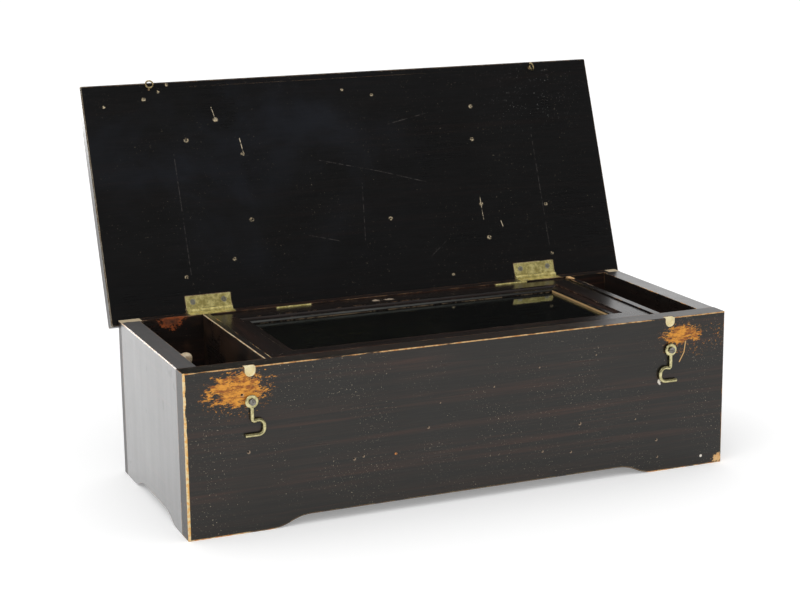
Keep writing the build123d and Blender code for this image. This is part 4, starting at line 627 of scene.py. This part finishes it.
knob = Finish("turned_knob")
turned = knob.noise((140, 140, 1000), 4, 0.6, 1.0)
handled = knob.ramp(knob.noise(160.0, 4, 0.6, 4.0), 0.46, 0.66, 0.0, 0.7)
clean = knob.tint(knob.ramp(turned, 0.3, 0.75), (0.72, 0.60, 0.42), (0.55, 0.42, 0.26))
knob.set("Base Color", knob.tint(handled, clean, (0.30, 0.18, 0.09)))
knob.set("Roughness", knob.ramp(knob.noise(300.0), 0.3, 0.7, 0.3, 0.5))
knob.set("Normal", knob.bump(turned, 0.00006, 0.5))
dress(knob, "lever_knob")

# %% [markdown]
# ## Glass
# The pane is thin old glass with a green tint, a little wavy, with a film of dust here and there.
# From the photograph's low angle it mirrors the dark lid, so it reads as almost black. From above, the
# movement shows through it.

# %% Glass
glass = Finish("old_glass")
glass.shader.inputs["Base Color"].default_value = (0.66, 0.78, 0.71, 1.0)
glass.shader.inputs["Transmission Weight"].default_value = 1.0
glass.shader.inputs["IOR"].default_value = 1.5
glass.shader.inputs["Specular IOR Level"].default_value = 0.3
glass.set("Roughness", glass.ramp(glass.noise(38.0, 5, 0.65, 2.0), 0.40, 0.70, 0.01, 0.04))
glass.set("Normal", glass.bump(glass.noise(13.0, 2, 0.5, 1.0), 0.0005, 0.1))
dress(glass, "glass_pane")

# %% [markdown]
# ## The studio
# A plain white floor that runs far past the picture, and a plain white surround. Polished wood mirrors
# that surround from the sides and the back. The room behind the camera is dimmer, so the lid stays
# dark. A low wide lamp stands behind the left end, and only polished surfaces see it. The paper looks
# white to the camera and in reflections, and lights the object no more for that.

# %% Floor and surround
bpy.ops.object.select_all(action="DESELECT")
bpy.ops.mesh.primitive_plane_add(size=30.0, location=(0, 0, 0))
floor = bpy.context.active_object
floor.name = "floor"
paper = Finish("studio_paper")
paper.shader.inputs["Base Color"].default_value = (0.93, 0.93, 0.93, 1.0)
paper.shader.inputs["Roughness"].default_value = 0.9
paper.shader.inputs["Specular IOR Level"].default_value = 0.1
white_rays = paper.add("LightPath")
seen_white = paper.calc("ADD", white_rays.outputs["Is Camera Ray"], white_rays.outputs["Is Glossy Ray"], True)
seen_white = paper.calc("ADD", seen_white, white_rays.outputs["Is Transmission Ray"], True)
paper.set("Emission Color", (1.0, 1.0, 1.0))
paper.set("Emission Strength", paper.calc("MULTIPLY", seen_white, 0.26))
floor.data.materials.append(paper.material)

world = bpy.data.worlds.new("surround")
bpy.context.scene.world = world
world.use_nodes = True
sky = world.node_tree
light_path = sky.nodes.new("ShaderNodeLightPath")
direction = sky.nodes.new("ShaderNodeTexCoord")
split = sky.nodes.new("ShaderNodeSeparateXYZ")
sky.links.new(direction.outputs["Generated"], split.inputs[0])
toward_back = sky.nodes.new("ShaderNodeMapRange")
toward_back.inputs["From Min"].default_value = -0.6
toward_back.inputs["From Max"].default_value = 0.5
toward_back.inputs["To Min"].default_value = 0.14
toward_back.inputs["To Max"].default_value = 1.0
sky.links.new(split.outputs["Y"], toward_back.inputs["Value"])
strength = sky.nodes.new("ShaderNodeMix")
sky.links.new(light_path.outputs["Is Glossy Ray"], strength.inputs["Factor"])
strength.inputs[2].default_value = 0.88
sky.links.new(toward_back.outputs["Result"], strength.inputs[3])
seen = sky.nodes.new("ShaderNodeMix")
sky.links.new(light_path.outputs["Is Camera Ray"], seen.inputs["Factor"])
sky.links.new(strength.outputs[0], seen.inputs[2])
seen.inputs[3].default_value = 1.0
background = sky.nodes["Background"]
background.inputs["Color"].default_value = (1, 1, 1, 1)
sky.links.new(seen.outputs[0], background.inputs["Strength"])


# %% Lamps
def soft_lamp(name, place, size, power, aim=(0, 0, 0.08), polish_only=False):
    lamp_data = bpy.data.lights.new(name, "AREA")
    lamp_data.shape = "RECTANGLE"
    lamp_data.size, lamp_data.size_y = size
    lamp_data.energy = power
    lamp = bpy.data.objects.new(name, lamp_data)
    bpy.context.scene.collection.objects.link(lamp)
    lamp.location = place
    lamp.rotation_euler = (Vector(aim) - Vector(place)).to_track_quat("-Z", "Y").to_euler()
    lamp.visible_diffuse = not polish_only
    return lamp


soft_lamp("key", (-1.3, -1.2, 1.9), (1.3, 1.3), 8)
soft_lamp("sheen", (-0.95, 2.0, 0.35), (1.6, 0.7), 20, polish_only=True)
print("lamps set")
